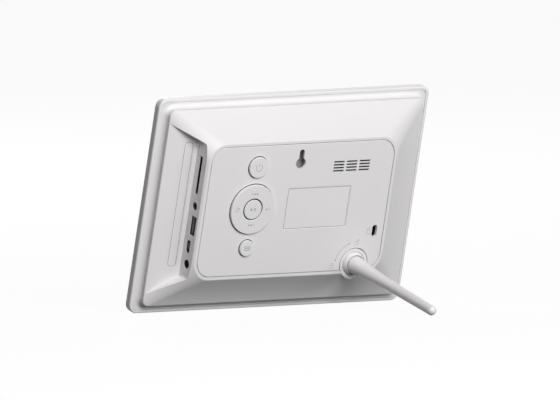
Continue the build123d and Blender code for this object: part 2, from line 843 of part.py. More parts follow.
with BuildPart() as rear_panel:
    with BuildSketch(rim.offset(panel_under)):
        with Locations((0, panel_y)):
            RectangleRounded(panel_width, panel_height, panel_corner)
    extrude(amount=panel_thickness)
    fillet(edges_at(rear_panel, plateau), radius=panel_edge)
    # openings for the buttons, the leg socket, the keyhole, the lock slot and the grille
    with BuildSketch(rim.offset(panel_under)):
        with Locations((key_x, power_y)):
            Circle(power_radius + key_gap)
        with Locations((key_x, menu_y)):
            Circle(menu_radius + key_gap)
        with Locations((key_x, ring_y)):
            Circle(ring_radius + key_gap)
        with Locations((socket_x, socket_y)):
            Circle(socket_radius + panel_gap)
        with Locations((hanger_x, hanger_y)):
            Circle(hanger_radius)
        with Locations((hanger_x, hanger_y + (hanger_rise - hanger_slot / 2) / 2)):
            SlotCenterToCenter(hanger_rise - hanger_slot / 2, hanger_slot, rotation=90)
        with Locations((lock_x, lock_y)):
            SlotOverall(lock_height, lock_width, rotation=90)
        with Locations((speaker_x, speaker_y)):
            with GridLocations(grille_pitch_x, grille_pitch_y, grille_columns, grille_rows):
                Rectangle(grille_slot, grille_slit)
    extrude(amount=panel_thickness, mode=Mode.SUBTRACT)
    # the panel is thinner behind the grille
    with BuildSketch(rim.offset(panel_under)):
        with Locations((speaker_x, speaker_y)):
            Rectangle(grille_width + 2 * grille_margin, grille_height + 2 * grille_margin)
    extrude(amount=panel_thickness - grille_wall, mode=Mode.SUBTRACT)
    # bed for the rating label
    with BuildSketch(rim.offset(plateau - label_sink)):
        with Locations((rating_x, rating_y)):
            RectangleRounded(rating_width, rating_height, rating_corner)
    extrude(amount=label_sink, mode=Mode.SUBTRACT)
    # posts that carry the key board, and stakes that hold the lock plate
    with BuildSketch(rim.offset(key_board_face)):
        with Locations(*key_posts):
            Circle(key_post_radius)
            Circle(small_screw + screw_gap, mode=Mode.SUBTRACT)
    extrude(amount=panel_under - key_board_face)
    with BuildSketch(rim.offset(panel_under - lock_plate_thickness - stake_radius / 2)):
        with Locations(*stakes):
            Circle(stake_radius)
    extrude(amount=lock_plate_thickness + stake_radius / 2)
    # snap tabs that hook under the ledge of the cover
    for tab_x, tab_y, way in tabs:
        with BuildSketch(Plane(at(tab_x, tab_y), x_dir=way, z_dir=way.cross(rim.z_dir))):
            with BuildLine():
                Polyline(
                    (-tab_gap - tab_thickness, panel_under),
                    (-tab_gap, panel_under),
                    (-tab_gap, ledge_under - tab_gap),
                    (tab_barb - tab_gap, ledge_under - tab_gap),
                    (-tab_gap, ledge_under - tab_gap - tab_barb - tab_gap),
                    (-tab_gap - tab_thickness, ledge_under - tab_gap - tab_barb - tab_gap),
                    close=True,
                )
            make_face()
        extrude(amount=tab_width / 2, both=True)

with BuildPart() as rating_label:
    with BuildSketch(rim.offset(plateau - label_sink)):
        with Locations((rating_x, rating_y)):
            RectangleRounded(rating_width - 2 * label_gap, rating_height - 2 * label_gap,
                             rating_corner)
    extrude(amount=label_thickness)

with BuildPart() as port_label_strip:
    with BuildSketch(strip_plane.offset(-label_sink)):
        RectangleRounded(strip_width - 2 * label_gap, strip_length - 2 * label_gap, strip_corner)
    extrude(amount=label_thickness)

with BuildPart() as case_screws:
    with BuildSketch(rim.offset(bracket_z + running_gap)):
        with Locations(*posts):
            Circle(case_screw)
    extrude(amount=case_head_under - bracket_z - running_gap)
    with BuildSketch(rim.offset(case_head_under)):
        with Locations(*posts):
            Circle(case_head)
            RegularPolygon(case_socket, 6, mode=Mode.SUBTRACT)
    extrude(amount=case_head_height)

# ---------------------------------------------------------------- keyhole cup and lock plate

with BuildPart() as keyhole_cup:
    with BuildSketch(rim.offset(panel_under - cup_depth - cup_wall)):
        with Locations((hanger_x, cup_y)):
            Rectangle(cup_width, cup_height)
    extrude(amount=cup_depth + cup_wall)
    with BuildSketch(rim.offset(panel_under - cup_depth)):
        with Locations((hanger_x, cup_y)):
            Rectangle(cup_width - 2 * cup_wall, cup_height - 2 * cup_wall)
    extrude(amount=cup_depth, mode=Mode.SUBTRACT)

with BuildPart() as lock_plate:
    with BuildSketch(rim.offset(panel_under - lock_plate_thickness)):
        with Locations((lock_x, lock_y)):
            Rectangle(lock_plate_width, lock_plate_height)
            SlotOverall(lock_slot_height, lock_slot_width, rotation=90, mode=Mode.SUBTRACT)
        with Locations(*stakes):
            Circle(stake_radius + running_gap, mode=Mode.SUBTRACT)
    extrude(amount=lock_plate_thickness)

# ---------------------------------------------------------------- speaker


def turned(x, y, points):
    """A round piece about the axis at (x, y), turned from its half outline of radius and height."""
    with BuildPart() as piece:
        with BuildSketch(profile(x, y)):
            with BuildLine():
                Polyline(*points, close=True)
            make_face()
        revolve(axis=turning(x, y))
    return piece


speaker_rim_z = panel_under - gasket_thickness
speaker_back_z = speaker_rim_z - speaker_depth
cone_edge = speaker_radius - speaker_lip

speaker_gasket = turned(speaker_x, speaker_y, [
    (cone_edge, speaker_rim_z),
    (speaker_radius, speaker_rim_z),
    (speaker_radius, panel_under),
    (cone_edge, panel_under),
])

speaker_basket = turned(speaker_x, speaker_y, [
    (cone_edge, speaker_rim_z - speaker_sheet),
    (cone_edge, speaker_rim_z),
    (speaker_radius, speaker_rim_z),
    (speaker_radius, speaker_rim_z - speaker_sheet),
    (magnet_radius + speaker_sheet, speaker_back_z),
    (0, speaker_back_z),
    (0, speaker_back_z + speaker_sheet),
    (magnet_radius, speaker_back_z + speaker_sheet),
    (cone_edge, speaker_rim_z - 2 * speaker_sheet),
])

speaker_magnet = turned(speaker_x, speaker_y, [
    (0, speaker_back_z - magnet_height),
    (magnet_radius, speaker_back_z - magnet_height),
    (magnet_radius, speaker_back_z),
    (0, speaker_back_z),
])

speaker_cone = turned(speaker_x, speaker_y, [
    (0, speaker_back_z + 2 * speaker_sheet),
    (magnet_radius / 2, speaker_back_z + speaker_sheet),
    (cone_edge - running_gap, speaker_rim_z - cone_sheet - speaker_sheet),
    (cone_edge - running_gap, speaker_rim_z - speaker_sheet),
    (magnet_radius / 2, speaker_back_z + speaker_sheet + cone_sheet),
    (0, speaker_back_z + 2 * speaker_sheet + cone_sheet),
])

# ---------------------------------------------------------------- buttons


def plain_key(y, radius):
    """A round button: cap, retaining flange under the panel, and the stem over its switch."""
    key = turned(key_x, y, [
        (0, plunger_top + seat_gap),
        (stem_radius, plunger_top + seat_gap),
        (stem_radius, key_flange_top - key_flange),
        (radius + flange_reach, key_flange_top - key_flange),
        (radius + flange_reach, key_flange_top),
        (radius, key_flange_top),
        (radius, key_cap_top),
        (0, key_cap_top),
    ])
    with key:
        fillet(edges_at(key, key_cap_top), radius=key_edge)
    return key


power_button = plain_key(power_y, power_radius)
menu_button = plain_key(menu_y, menu_radius)

with BuildPart() as navigation_ring:
    with BuildSketch(rim.offset(ring_under)):
        with Locations((key_x, ring_y)):
            Circle(ring_radius + flange_reach)
            Circle(ring_bore, mode=Mode.SUBTRACT)
    extrude(amount=key_flange)
    with BuildSketch(rim.offset(ring_under)):
        with Locations((key_x, ring_y)):
            Circle(ring_radius)
            Circle(ring_bore, mode=Mode.SUBTRACT)
    extrude(amount=key_cap_top - ring_under)
    fillet(edges_at(navigation_ring, key_cap_top), radius=key_edge)
    with BuildSketch(rim.offset(plunger_top + ring_click_gap)):
        with Locations(*ring_switches):
            Circle(nub_radius)
    extrude(amount=ring_under - plunger_top - ring_click_gap)

play_radius = ring_bore - play_gap
play_button = turned(key_x, ring_y, [
    (0, plunger_top + seat_gap),
    (stem_radius, plunger_top + seat_gap),
    (stem_radius, play_under),
    (play_radius + play_reach, play_under),
    (play_radius + play_reach, play_flange_top),
    (play_radius, play_flange_top),
    (play_radius, key_cap_top),
    (0, key_cap_top),
])
with play_button:
    fillet(edges_at(play_button, key_cap_top), radius=key_edge)

# The collar under the ring rocks on two knuckles up and down, and the ring rocks on two more
# knuckles, crosswise to those, from side to side.
collar_bore = play_radius + play_reach + collar_gap
with BuildPart() as rocker_collar:
    with BuildSketch(flat(key_x, ring_y, low_knuckle_z)):
        Circle(collar_bore + collar_width)
    extrude(amount=high_knuckle_z - low_knuckle_z)
    with BuildSketch(Plane(at(key_x, ring_y, low_knuckle_z), x_dir=rim.y_dir, z_dir=rim.x_dir)):
        Circle(knuckle_radius)
    extrude(amount=collar_bore + collar_width - running_gap, both=True)
    with BuildSketch(Plane(at(key_x, ring_y, high_knuckle_z), x_dir=rim.x_dir, z_dir=rim.y_dir)):
        Circle(knuckle_radius)
    extrude(amount=collar_bore + collar_width - running_gap, both=True)
    with BuildSketch(flat(key_x, ring_y, key_board_face)):
        Circle(collar_bore)
    extrude(amount=ring_under - key_board_face, mode=Mode.SUBTRACT)

# ---------------------------------------------------------------- switches and key board

with BuildPart() as tact_switches:
    with BuildSketch(rim.offset(key_board_face)):
        with Locations(*key_switches, *ring_switches):
            Rectangle(switch_side, switch_side)
    extrude(amount=switch_height)
    with BuildSketch(rim.offset(switch_top - plunger_depth - key_travel - running_gap)):
        with Locations(*key_switches, *ring_switches):
            Circle(plunger_radius + running_gap)
    extrude(amount=switch_height, mode=Mode.SUBTRACT)


def plungers(places):
    """The moving buttons of the switches at these places."""
    with BuildPart() as buttons:
        with BuildSketch(rim.offset(switch_top - plunger_depth)):
            with Locations(*places):
                Circle(plunger_radius)
        extrude(amount=plunger_depth + plunger_proud)
    return buttons


power_plunger = plungers(key_switches[:1])
play_plunger = plungers(key_switches[1:2])
menu_plunger = plungers(key_switches[2:])
ring_plungers = plungers(ring_switches)

with BuildPart() as key_board:
    with BuildSketch(rim.offset(key_board_z)):
        with Locations((key_x, key_board_y)):
            Rectangle(key_board_width, key_board_height)
        with Locations(*key_posts):
            Circle(small_screw + screw_gap, mode=Mode.SUBTRACT)
    extrude(amount=key_board_thickness)

with BuildPart() as key_board_screws:
    with BuildSketch(rim.offset(key_board_z)):
        with Locations(*key_posts):
            Circle(small_screw)
    extrude(amount=key_board_thickness + key_post_bore)
    with BuildSketch(rim.offset(key_board_z - small_head_height)):
        with Locations(*key_posts):
            Circle(small_head)
    extrude(amount=small_head_height)

with BuildPart() as board_link:
    with BuildSketch(rim.offset(board_face)):
        with Locations(link_place):
            Rectangle(link_length, link_width)
    extrude(amount=key_board_z - board_face)

# ---------------------------------------------------------------- main board

with BuildPart() as main_board:
    with BuildSketch(rim.offset(board_z)):
        with Locations((board_left + board_length / 2, (board_top + board_bottom) / 2)):
            Rectangle(board_length, board_top - board_bottom)
        with Locations(*posts):
            Circle(post_radius + board_notch, mode=Mode.SUBTRACT)
        with Locations(*standoff_places):
            Circle(small_screw + screw_gap, mode=Mode.SUBTRACT)
    extrude(amount=board_thickness)

with BuildPart() as board_standoffs:
    with BuildSketch(rim.offset(bracket_face)):
        with Locations(*standoff_places):
            RegularPolygon(standoff_radius, 6)
    extrude(amount=board_z - bracket_face)
    with BuildSketch(rim.offset(board_z - small_screw_length)):
        with Locations(*standoff_places):
            Circle(small_screw + screw_gap)
    extrude(amount=small_screw_length, mode=Mode.SUBTRACT)

with BuildPart() as board_screws:
    with BuildSketch(rim.offset(board_face - small_screw_length)):
        with Locations(*standoff_places):
            Circle(small_screw)
    extrude(amount=small_screw_length)
    with BuildSketch(rim.offset(board_face)):
        with Locations(*standoff_places):
            Circle(small_head)
    extrude(amount=small_head_height)

with BuildPart() as board_chips:
    for chip_x, chip_y, chip_width, chip_height, chip_thickness in chips:
        with BuildSketch(rim.offset(board_face)):
            with Locations((chip_x, chip_y)):
                Rectangle(chip_width, chip_height)
        extrude(amount=chip_thickness)

with BuildPart() as capacitors:
    with BuildSketch(rim.offset(board_face)):
        with Locations(*capacitor_places):
            Circle(capacitor_radius)
    extrude(amount=capacitor_height)

with BuildPart() as flex_socket:
    with BuildSketch(rim.offset(board_face)):
        with Locations((flex_x, flex_socket_y)):
            Rectangle(flex_width + 2 * flex_socket_wall, flex_socket_depth)
    extrude(amount=flex_socket_height)

# Flat cable from the display, out past the foot of the tray and back over the edge of the board
flex_low = cell_z + cell_thickness / 2
flex_high = board_face + flex_socket_height / 2
flex_end = flex_socket_y - flex_socket_depth / 2
flex_out = board_bottom - flex_reach
with BuildPart() as display_flex:
    with BuildSketch(Plane(at(flex_x, 0), x_dir=rim.y_dir, z_dir=rim.x_dir)):
        with BuildLine():
            Polyline(
                (-tray_height / 2, flex_low),
                (flex_out, flex_low),
                (flex_out, flex_high),
                (flex_end, flex_high),
                (flex_end, flex_high - flex_thickness),
                (flex_out + flex_thickness, flex_high - flex_thickness),
                (flex_out + flex_thickness, flex_low + flex_thickness),
                (-tray_height / 2, flex_low + flex_thickness),
                close=True,
            )
        make_face()
    extrude(amount=flex_width / 2, both=True)

# ---------------------------------------------------------------- ports on the main board

with BuildPart() as card_reader:
    with BuildSketch(port_plane.offset(card_front)):
        with Locations((card_y, board_face + card_rise)):
            Rectangle(card_body_width, 2 * card_rise)
    extrude(amount=card_depth)
    with BuildSketch(port_plane.offset(card_front)):
        with Locations((card_y, board_face + card_rise)):
            Rectangle(card_mouth_width, card_mouth_height)
    extrude(amount=card_depth - card_wall, mode=Mode.SUBTRACT)

with BuildPart() as headphone_jack:
    with BuildSketch(port_plane.offset(port_inside)):
        with Locations((phone_y, board_face + phone_rise)):
            Rectangle(phone_body, 2 * phone_rise)
    extrude(amount=phone_depth)
    with BuildSketch(port_plane.offset(port_draft)):
        with Locations((phone_y, board_face + phone_rise)):
            Circle(phone_nose)
    extrude(amount=port_inside - port_draft)
    with BuildSketch(port_plane.offset(port_draft)):
        with Locations((phone_y, board_face + phone_rise)):
            Circle(phone_bore)
    extrude(amount=phone_depth, mode=Mode.SUBTRACT)

with BuildPart() as usb_shell:
    with BuildSketch(port_plane.offset(port_draft)):
        with Locations((usb_y, board_face + usb_rise)):
            Rectangle(usb_width, usb_height)
            Rectangle(usb_width - 2 * usb_sheet, usb_height - 2 * usb_sheet, mode=Mode.SUBTRACT)
    extrude(amount=usb_depth)

with BuildPart() as usb_insulator:
    usb_back_from = port_draft + usb_depth - usb_back
    with BuildSketch(port_plane.offset(usb_back_from)):
        with Locations((usb_y, board_face + usb_rise)):
            Rectangle(usb_width - 2 * usb_sheet, usb_height - 2 * usb_sheet)
    extrude(amount=usb_back)
    tongue_z = board_face + usb_rise - usb_height / 2 + usb_sheet + usb_tongue
    with BuildSketch(port_plane.offset(port_draft + usb_sheet)):
        with Locations((usb_y, tongue_z)):
            Rectangle(usb_tongue_width, usb_tongue)
    extrude(amount=usb_back_from - port_draft - usb_sheet)

with BuildPart() as usb_block:
    usb_under = board_face + usb_rise - usb_height / 2
    with BuildSketch(port_plane.offset(port_inside)):
        with Locations((usb_y, (board_face + usb_under) / 2)):
            Rectangle(usb_width, usb_under - board_face)
    extrude(amount=usb_depth + port_draft - port_inside)

with BuildPart() as mini_usb_shell:
    with BuildSketch(port_plane.offset(port_draft)):
        add(mini_outline(0))
        add(mini_outline(-usb_sheet), mode=Mode.SUBTRACT)
    extrude(amount=mini_depth)

with BuildPart() as mini_usb_insulator:
    mini_back_from = port_draft + mini_depth - mini_back
    with BuildSketch(port_plane.offset(mini_back_from)):
        add(mini_outline(-usb_sheet))
    extrude(amount=mini_back)
    with BuildSketch(port_plane.offset(port_draft + usb_sheet)):
        with Locations((mini_y, board_face + mini_rise - mini_drop)):
            Rectangle(mini_width / 2, mini_tongue)
    extrude(amount=mini_back_from - port_draft - usb_sheet)

with BuildPart() as power_jack:
    with BuildSketch(port_plane.offset(port_inside)):
        with Locations((power_in_y, board_face + power_in_rise)):
            Rectangle(power_in_body, 2 * power_in_rise)
    extrude(amount=power_in_depth)
    with BuildSketch(port_plane.offset(port_draft)):
        with Locations((power_in_y, board_face + power_in_rise)):
            Circle(power_in_nose)
    extrude(amount=port_inside - port_draft)
    with BuildSketch(port_plane.offset(port_draft)):
        with Locations((power_in_y, board_face + power_in_rise)):
            Circle(power_in_bore)
    extrude(amount=power_in_reach, mode=Mode.SUBTRACT)

with BuildPart() as power_jack_pin:
    with BuildSketch(port_plane.offset(port_draft + power_in_pin)):
        with Locations((power_in_y, board_face + power_in_rise)):
            Circle(power_in_pin)
    extrude(amount=power_in_reach - power_in_pin)

# ---------------------------------------------------------------- leg

leg_collar = turned(socket_x, socket_y, [
    (0, spigot_end),
    (spigot_radius, spigot_end),
    (spigot_radius, collar_under),
    (socket_bore - collar_gap_side, collar_under),
    (socket_bore - collar_gap_side, socket_top),
    (cone_top_radius, cone_top),
    (leg_root + leg_gap, cone_top),
    (leg_root + leg_gap, leg_seat),
    (tenon_radius, leg_seat),
    (tenon_radius, leg_seat - tenon_length),
    (0, leg_seat - tenon_length),
])
with leg_collar:
    for turn in lug_turns:
        extrude(
            ring_sector(lug_top - lug_height, spigot_radius - bayonet_gap,
                        socket_bore - collar_gap_side, turn - lug_angle / 2, lug_angle),
            amount=lug_height,
        )

neck_z = cone_top + leg_neck_at
relief_z = cone_top + leg_relief_end
with BuildPart() as stand_leg:
    with BuildSketch(profile(socket_x, socket_y)):
        with BuildLine():
            Polyline(
                (0, tip_z + leg_tip),
                (0, leg_seat - tenon_length + running_gap),
                (tenon_radius - running_gap, leg_seat - tenon_length + running_gap),
                (tenon_radius - running_gap, leg_seat),
                (leg_root - leg_relief, leg_seat),
                (leg_root, relief_z),
            )
            ThreePointArc(
                (leg_root, relief_z),
                ((leg_root + leg_neck) / 2 - leg_belly, (relief_z + neck_z) / 2),
                (leg_neck, neck_z),
            )
            Line((leg_neck, neck_z), (leg_tip, tip_z))
            RadiusArc((leg_tip, tip_z), (0, tip_z + leg_tip), -leg_tip)
        make_face()
    revolve(axis=turning(socket_x, socket_y))

# ---------------------------------------------------------------- speaker leads

with BuildPart() as lead_socket:
    with BuildSketch(rim.offset(board_face)):
        with Locations(lead_place):
            Rectangle(lead_socket_side, lead_socket_side)
    extrude(amount=lead_socket_height)

with BuildPart() as speaker_leads:
    for lead in (-1, 1):
        lead_y = lead * lead_spacing / 2
        lead_x = speaker_x - speaker_radius - lead_radius - running_gap
        lead_end_x = lead_place[0] + lead_socket_side / 2
        lead_start = at(lead_x, speaker_y + lead_y, speaker_rim_z - speaker_sheet)
        lead_bend = at(lead_x, speaker_y + lead_y, lead_z)
        lead_turn = at((lead_x + lead_end_x) / 2, lead_place[1] + lead_y, lead_z)
        lead_end = at(lead_end_x, lead_place[1] + lead_y, lead_z)
        with BuildLine() as route:
            FilletPolyline(lead_start, lead_bend, lead_turn, lead_end, radius=lead_bend_radius)
        with BuildSketch(Plane(route.line @ 0, z_dir=route.line % 0)):
            Circle(lead_radius)
        sweep(path=route.line)

# ---------------------------------------------------------------- hand over

pieces = {
    "front_bezel": front_bezel,
    "display_window": display_window,
    "picture_mat": picture_mat,
    "display_cell": display_cell,
    "light_guide": light_guide,
    "backlight_tray": backlight_tray,
    "display_bracket": display_bracket,
    "bracket_screws": bracket_screws,
    "display_flex": display_flex,
    "rear_cover": rear_cover,
    "case_screws": case_screws,
    "rear_panel": rear_panel,
    "rating_label": rating_label,
    "port_label_strip": port_label_strip,
    "keyhole_cup": keyhole_cup,
    "lock_plate": lock_plate,
    "speaker_gasket": speaker_gasket,
    "speaker_basket": speaker_basket,
    "speaker_cone": speaker_cone,
    "speaker_magnet": speaker_magnet,
    "speaker_leads": speaker_leads,
    "lead_socket": lead_socket,
    "power_button": power_button,
    "menu_button": menu_button,
    "play_button": play_button,
    "navigation_ring": navigation_ring,
    "rocker_collar": rocker_collar,
    "tact_switches": tact_switches,
    "power_plunger": power_plunger,
    "play_plunger": play_plunger,
    "menu_plunger": menu_plunger,
    "ring_plungers": ring_plungers,
    "key_board": key_board,
    "key_board_screws": key_board_screws,
    "board_link": board_link,
    "main_board": main_board,
    "board_standoffs": board_standoffs,
    "board_screws": board_screws,
    "board_chips": board_chips,
    "capacitors": capacitors,
    "flex_socket": flex_socket,
    "card_reader": card_reader,
    "headphone_jack": headphone_jack,
    "usb_shell": usb_shell,
    "usb_insulator": usb_insulator,
    "usb_block": usb_block,
    "mini_usb_shell": mini_usb_shell,
    "mini_usb_insulator": mini_usb_insulator,
    "power_jack": power_jack,
    "power_jack_pin": power_jack_pin,
    "leg_collar": leg_collar,
    "stand_leg": stand_leg,
}
os.makedirs("parts", exist_ok=True)
for name, piece in pieces.items():
    piece.part.label = name
    export_step(piece.part, f"parts/{name}.step")
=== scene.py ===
# %% [markdown]
# # A digital photo frame, dressed
#
# The frame leans back on one round leg, and its ports, buttons and openings are all in its back.
# The CAD model gives every solid in its place.  This lesson adds what a solid cannot say: what each
# piece is made of, the marks printed on it, the contacts inside its ports, and the light.
#
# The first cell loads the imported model.  Every CAD piece comes in as an object that sits at the
# origin, with its place in its mesh, so nothing has to be moved.

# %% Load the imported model
import json
from math import cos, radians, sin

import bmesh
import bpy
from mathutils import Matrix, Vector


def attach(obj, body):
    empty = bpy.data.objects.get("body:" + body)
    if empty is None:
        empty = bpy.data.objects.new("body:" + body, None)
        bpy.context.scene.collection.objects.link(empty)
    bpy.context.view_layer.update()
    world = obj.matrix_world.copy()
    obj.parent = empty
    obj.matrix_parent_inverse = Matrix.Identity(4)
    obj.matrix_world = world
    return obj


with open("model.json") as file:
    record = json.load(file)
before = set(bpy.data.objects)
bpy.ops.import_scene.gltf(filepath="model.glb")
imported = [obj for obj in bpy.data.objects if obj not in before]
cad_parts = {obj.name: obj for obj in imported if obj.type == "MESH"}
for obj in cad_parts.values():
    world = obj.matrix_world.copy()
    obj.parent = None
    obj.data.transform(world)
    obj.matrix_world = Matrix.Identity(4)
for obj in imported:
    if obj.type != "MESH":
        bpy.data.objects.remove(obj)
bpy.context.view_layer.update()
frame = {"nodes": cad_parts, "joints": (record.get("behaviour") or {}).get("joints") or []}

solids = frame["nodes"]
joints = {joint["name"]: joint for joint in frame["joints"]}
scene = bpy.context.scene
MM = 0.001

# %% [markdown]
# ## Finding places on a leaning frame
#
# The frame leans, so "across" and "up" on its back are not the world's axes.  The leg turns about
# an axis that stands square on the back, and the record gives that axis.  With it comes the back's
# own drawing: x to the right as seen from behind, y up, z out of the back, in millimetres, from the
# middle of the rim.  One function reads where a CAD piece lies in that drawing, and one matrix
# carries the drawing to the world, so every mark finds its place by the piece that it belongs to.

# %% The back's own drawing
out_of_back = Vector(joints["leg_twist"]["axis"]).normalized()
across = Vector((-1.0, 0.0, 0.0))
up_the_back = out_of_back.cross(across)
to_drawing = Matrix((across, up_the_back, out_of_back))


def reach(name):
    """Lowest and highest place of a CAD piece along the drawing's directions, in metres."""
    places = [to_drawing @ vertex.co for vertex in solids[name].data.vertices]
    return Vector(map(min, zip(*places))), Vector(map(max, zip(*places)))


rim_low, rim_high = reach("front_bezel")
rim_middle = (rim_low + rim_high) / 2
drawing_start = Vector((rim_middle.x, rim_middle.y, rim_high.z))


def drawn(name):
    """The same places in the drawing, in millimetres."""
    low, high = reach(name)
    return (low - drawing_start) / MM, (high - drawing_start) / MM


def middle(name):
    """Middle of a CAD piece in the drawing."""
    low, high = drawn(name)
    return (low + high) / 2


def placing(right, up, out, x=0.0, y=0.0, z=0.0):
    """Matrix that carries drawn millimetres along three directions to the world, from (x, y, z)."""
    corner = to_drawing.transposed() @ (drawing_start + MM * Vector((x, y, z)))
    turn = Matrix((right, up, out)).transposed().to_4x4()
    return Matrix.Translation(corner) @ turn @ Matrix.Scale(MM, 4)


def on_back(x, y, z):
    """Drawing square on the back, with its origin at (x, y, z)."""
    return placing(across, up_the_back, out_of_back, x, y, z)


flat_back = drawn("rear_panel")[1].z       # height of the flat back above the rim's ridge, mm
cap_top = drawn("power_button")[1].z       # height of the button caps
print("The back faces", tuple(round(part, 3) for part in out_of_back))
print("Flat back at", round(flat_back, 2), "mm, button caps at", round(cap_top, 2), "mm")

# %% [markdown]
# ## The camera
#
# A product is often shown from far away with a long lens, so that edges which are parallel on it
# stay parallel in the view.  A very long lens could do it, but an orthographic camera does just
# that with one number, the width of what it sees.  It stands behind the frame, a little above it.

# %% Camera behind the frame
VIEW_AZIMUTH = 146.56                      # degrees round the frame from its front
VIEW_ELEVATION = 4.46                      # degrees above the table
VIEW_WIDTH = 0.3774                        # m
VIEW_SHIFT = 0.001                         # share of the view's width
VIEW_DISTANCE = 2.0                        # from the middle of the rim, m
SIGHT = 50.0                               # how far the camera sees, m


def towards(azimuth, elevation):
    """Direction from the frame to a place round it, from two angles in degrees."""
    turn, rise = radians(azimuth), radians(elevation)
    return Vector((sin(turn) * cos(rise), -cos(turn) * cos(rise), sin(rise)))


def looking_back(direction):
    """Rotation of a camera or a lamp that looks back along a direction."""
    return (-direction).to_track_quat("-Z", "Y").to_euler()


middle_of_rim = on_back(0, 0, 0).translation
to_camera = towards(VIEW_AZIMUTH, VIEW_ELEVATION)
camera_data = bpy.data.cameras.new("camera_behind")
camera_data.type = "ORTHO"
camera_data.ortho_scale = VIEW_WIDTH
camera_data.shift_x = VIEW_SHIFT
camera_data.clip_end = SIGHT
camera = bpy.data.objects.new("camera_behind", camera_data)
camera.location = middle_of_rim + VIEW_DISTANCE * to_camera
camera.rotation_euler = looking_back(to_camera)
scene.collection.objects.link(camera)
scene.camera = camera
scene.view_settings.view_transform = "Standard"
print("Camera at", tuple(round(part, 3) for part in camera.location))

# %% [markdown]
# ## One helper for colours and one for nodes
#
# Colours are written as hex values, as they would be picked on a screen.  Blender mixes light, so
# it wants linear numbers, and one function turns the first into the second.  Nodes could be added
# with three lines each.  One function does it in one, so that a material reads as a list of what
# feeds what.

# %% Colours and nodes


def paint(hex_colour):
    """Linear RGBA of an sRGB hex value."""
    parts = [int(hex_colour[i:i + 2], 16) / 255 for i in (1, 3, 5)]
    return [p / 12.92 if p <= 0.04045 else ((p + 0.055) / 1.055) ** 2.4 for p in parts] + [1.0]


def add_node(tree, kind, inputs=None, **settings):
    """Adds a node, sets its properties, and fills or links its inputs by name or number."""
    made = tree.nodes.new(kind)
    for name, value in settings.items():
        setattr(made, name, value)
    for name, value in (inputs or {}).items():
        if isinstance(value, bpy.types.NodeSocket):
            tree.links.new(value, made.inputs[name])
        else:
            made.inputs[name].default_value = value
    return made


def new_material(name):
    """A material, its node tree, and the Object coordinates that its patterns follow."""
    material = bpy.data.materials.new(name)
    material.use_nodes = True
    tree = material.node_tree
    tree.nodes.clear()
    place = add_node(tree, "ShaderNodeTexCoord").outputs["Object"]
    return material, tree, place


def per_mm(size):
    """Texture scale whose features are about this many millimetres across."""
    return 1.0 / (size * MM)


print("White ABS in linear light:", [round(part, 3) for part in paint("#ECEAEB")])

# %% [markdown]
# ## White ABS, moulded
#
# The casing is injection-moulded ABS.  A mould's walls are either polished or etched with a fine
# grain.  Both show as soft white with a broad highlight.  One flat colour could do, but it would
# look like a drawing.  So two noises make it: a fine one for the grain, as a bump a few thousandths
# of a millimetre deep, and a wide one that shifts the tone by a percent or so, as thick and thin
# places of a moulding cool at different rates.
#
# The buttons' walls are drawn dark grey below the flat back. This is painted shade, so that each
# gap reads as a dark line round its button.  Two materials on one button would need its faces
# sorted.
# One material that looks at the height of each point is simpler.

# %% Moulded plastics
PLASTIC_IOR = 1.52                         # ABS and nylon lie between 1.5 and 1.54
POLISH_PLAY = 0.04                         # how far the grain turns the roughness up and down
KEY_GAP_SHADE = "#505255"                       # painted shade on a button's walls below the flat back
PLAY_SHADE_START = 0.45                        # painted shade starts this far below the cap on the middle button, mm


def moulded(name, colour, other, roughness, grain=0.4, depth=0.004, spread=30.0, shade_below=None):
    """Moulded plastic: two close tones, a grain and its depth in mm, and how wide the tones spread.

    A real grain is about 0.1 mm wide.  It is drawn a few times wider, or it would not show.
    Below the height in the last argument, a flat dark grey replaces the tones: painted shade in a
    gap.
    """
    material, tree, place = new_material(name)
    tone = add_node(tree, "ShaderNodeTexNoise", {
        "Vector": place, "Scale": per_mm(spread), "Detail": 2.0, "Roughness": 0.5,
    })
    shade = add_node(tree, "ShaderNodeMix", {
        "Factor": tone.outputs["Fac"], "A": paint(colour), "B": paint(other),
    }, data_type="RGBA")
    # Below that height, a flat dark grey is painted shade for the gap round a button.
    if shade_below is not None:
        height = add_node(tree, "ShaderNodeVectorMath", {0: place, 1: out_of_back},
                          operation="DOT_PRODUCT")
        above_gap_shade = add_node(tree, "ShaderNodeMath", {
            0: height.outputs["Value"], 1: drawing_start.z + MM * shade_below,
        }, operation="GREATER_THAN")
        shade = add_node(tree, "ShaderNodeMix", {
            "Factor": above_gap_shade.outputs[0], "A": paint(KEY_GAP_SHADE), "B": shade.outputs["Result"],
        }, data_type="RGBA")
    etched = add_node(tree, "ShaderNodeTexNoise", {
        "Vector": place, "Scale": per_mm(grain), "Detail": 3.0, "Roughness": 0.6,
    })
    bump = add_node(tree, "ShaderNodeBump", {
        "Height": etched.outputs["Fac"], "Strength": 0.5, "Distance": depth * MM,
    })
    polish = add_node(tree, "ShaderNodeMapRange", {
        "Value": etched.outputs["Fac"], "From Min": 0.3, "From Max": 0.7,
        "To Min": roughness - POLISH_PLAY, "To Max": roughness + POLISH_PLAY,
    })
    surface = add_node(tree, "ShaderNodeBsdfPrincipled", {
        "Base Color": shade.outputs["Result"], "Roughness": polish.outputs["Result"],
        "Normal": bump.outputs["Normal"], "IOR": PLASTIC_IOR,
    })
    add_node(tree, "ShaderNodeOutputMaterial", {"Surface": surface.outputs[0]})
    return material


# White ABS: a polished mould gives a clear highlight, an etched one a wide and soft one.
polished_white = moulded("white_abs_polished", "#EEECED", "#EBE9EA", 0.30, 0.8, 0.001)
grained_white = moulded("white_abs_etched", "#ECEAEB", "#E9E7E8", 0.42)
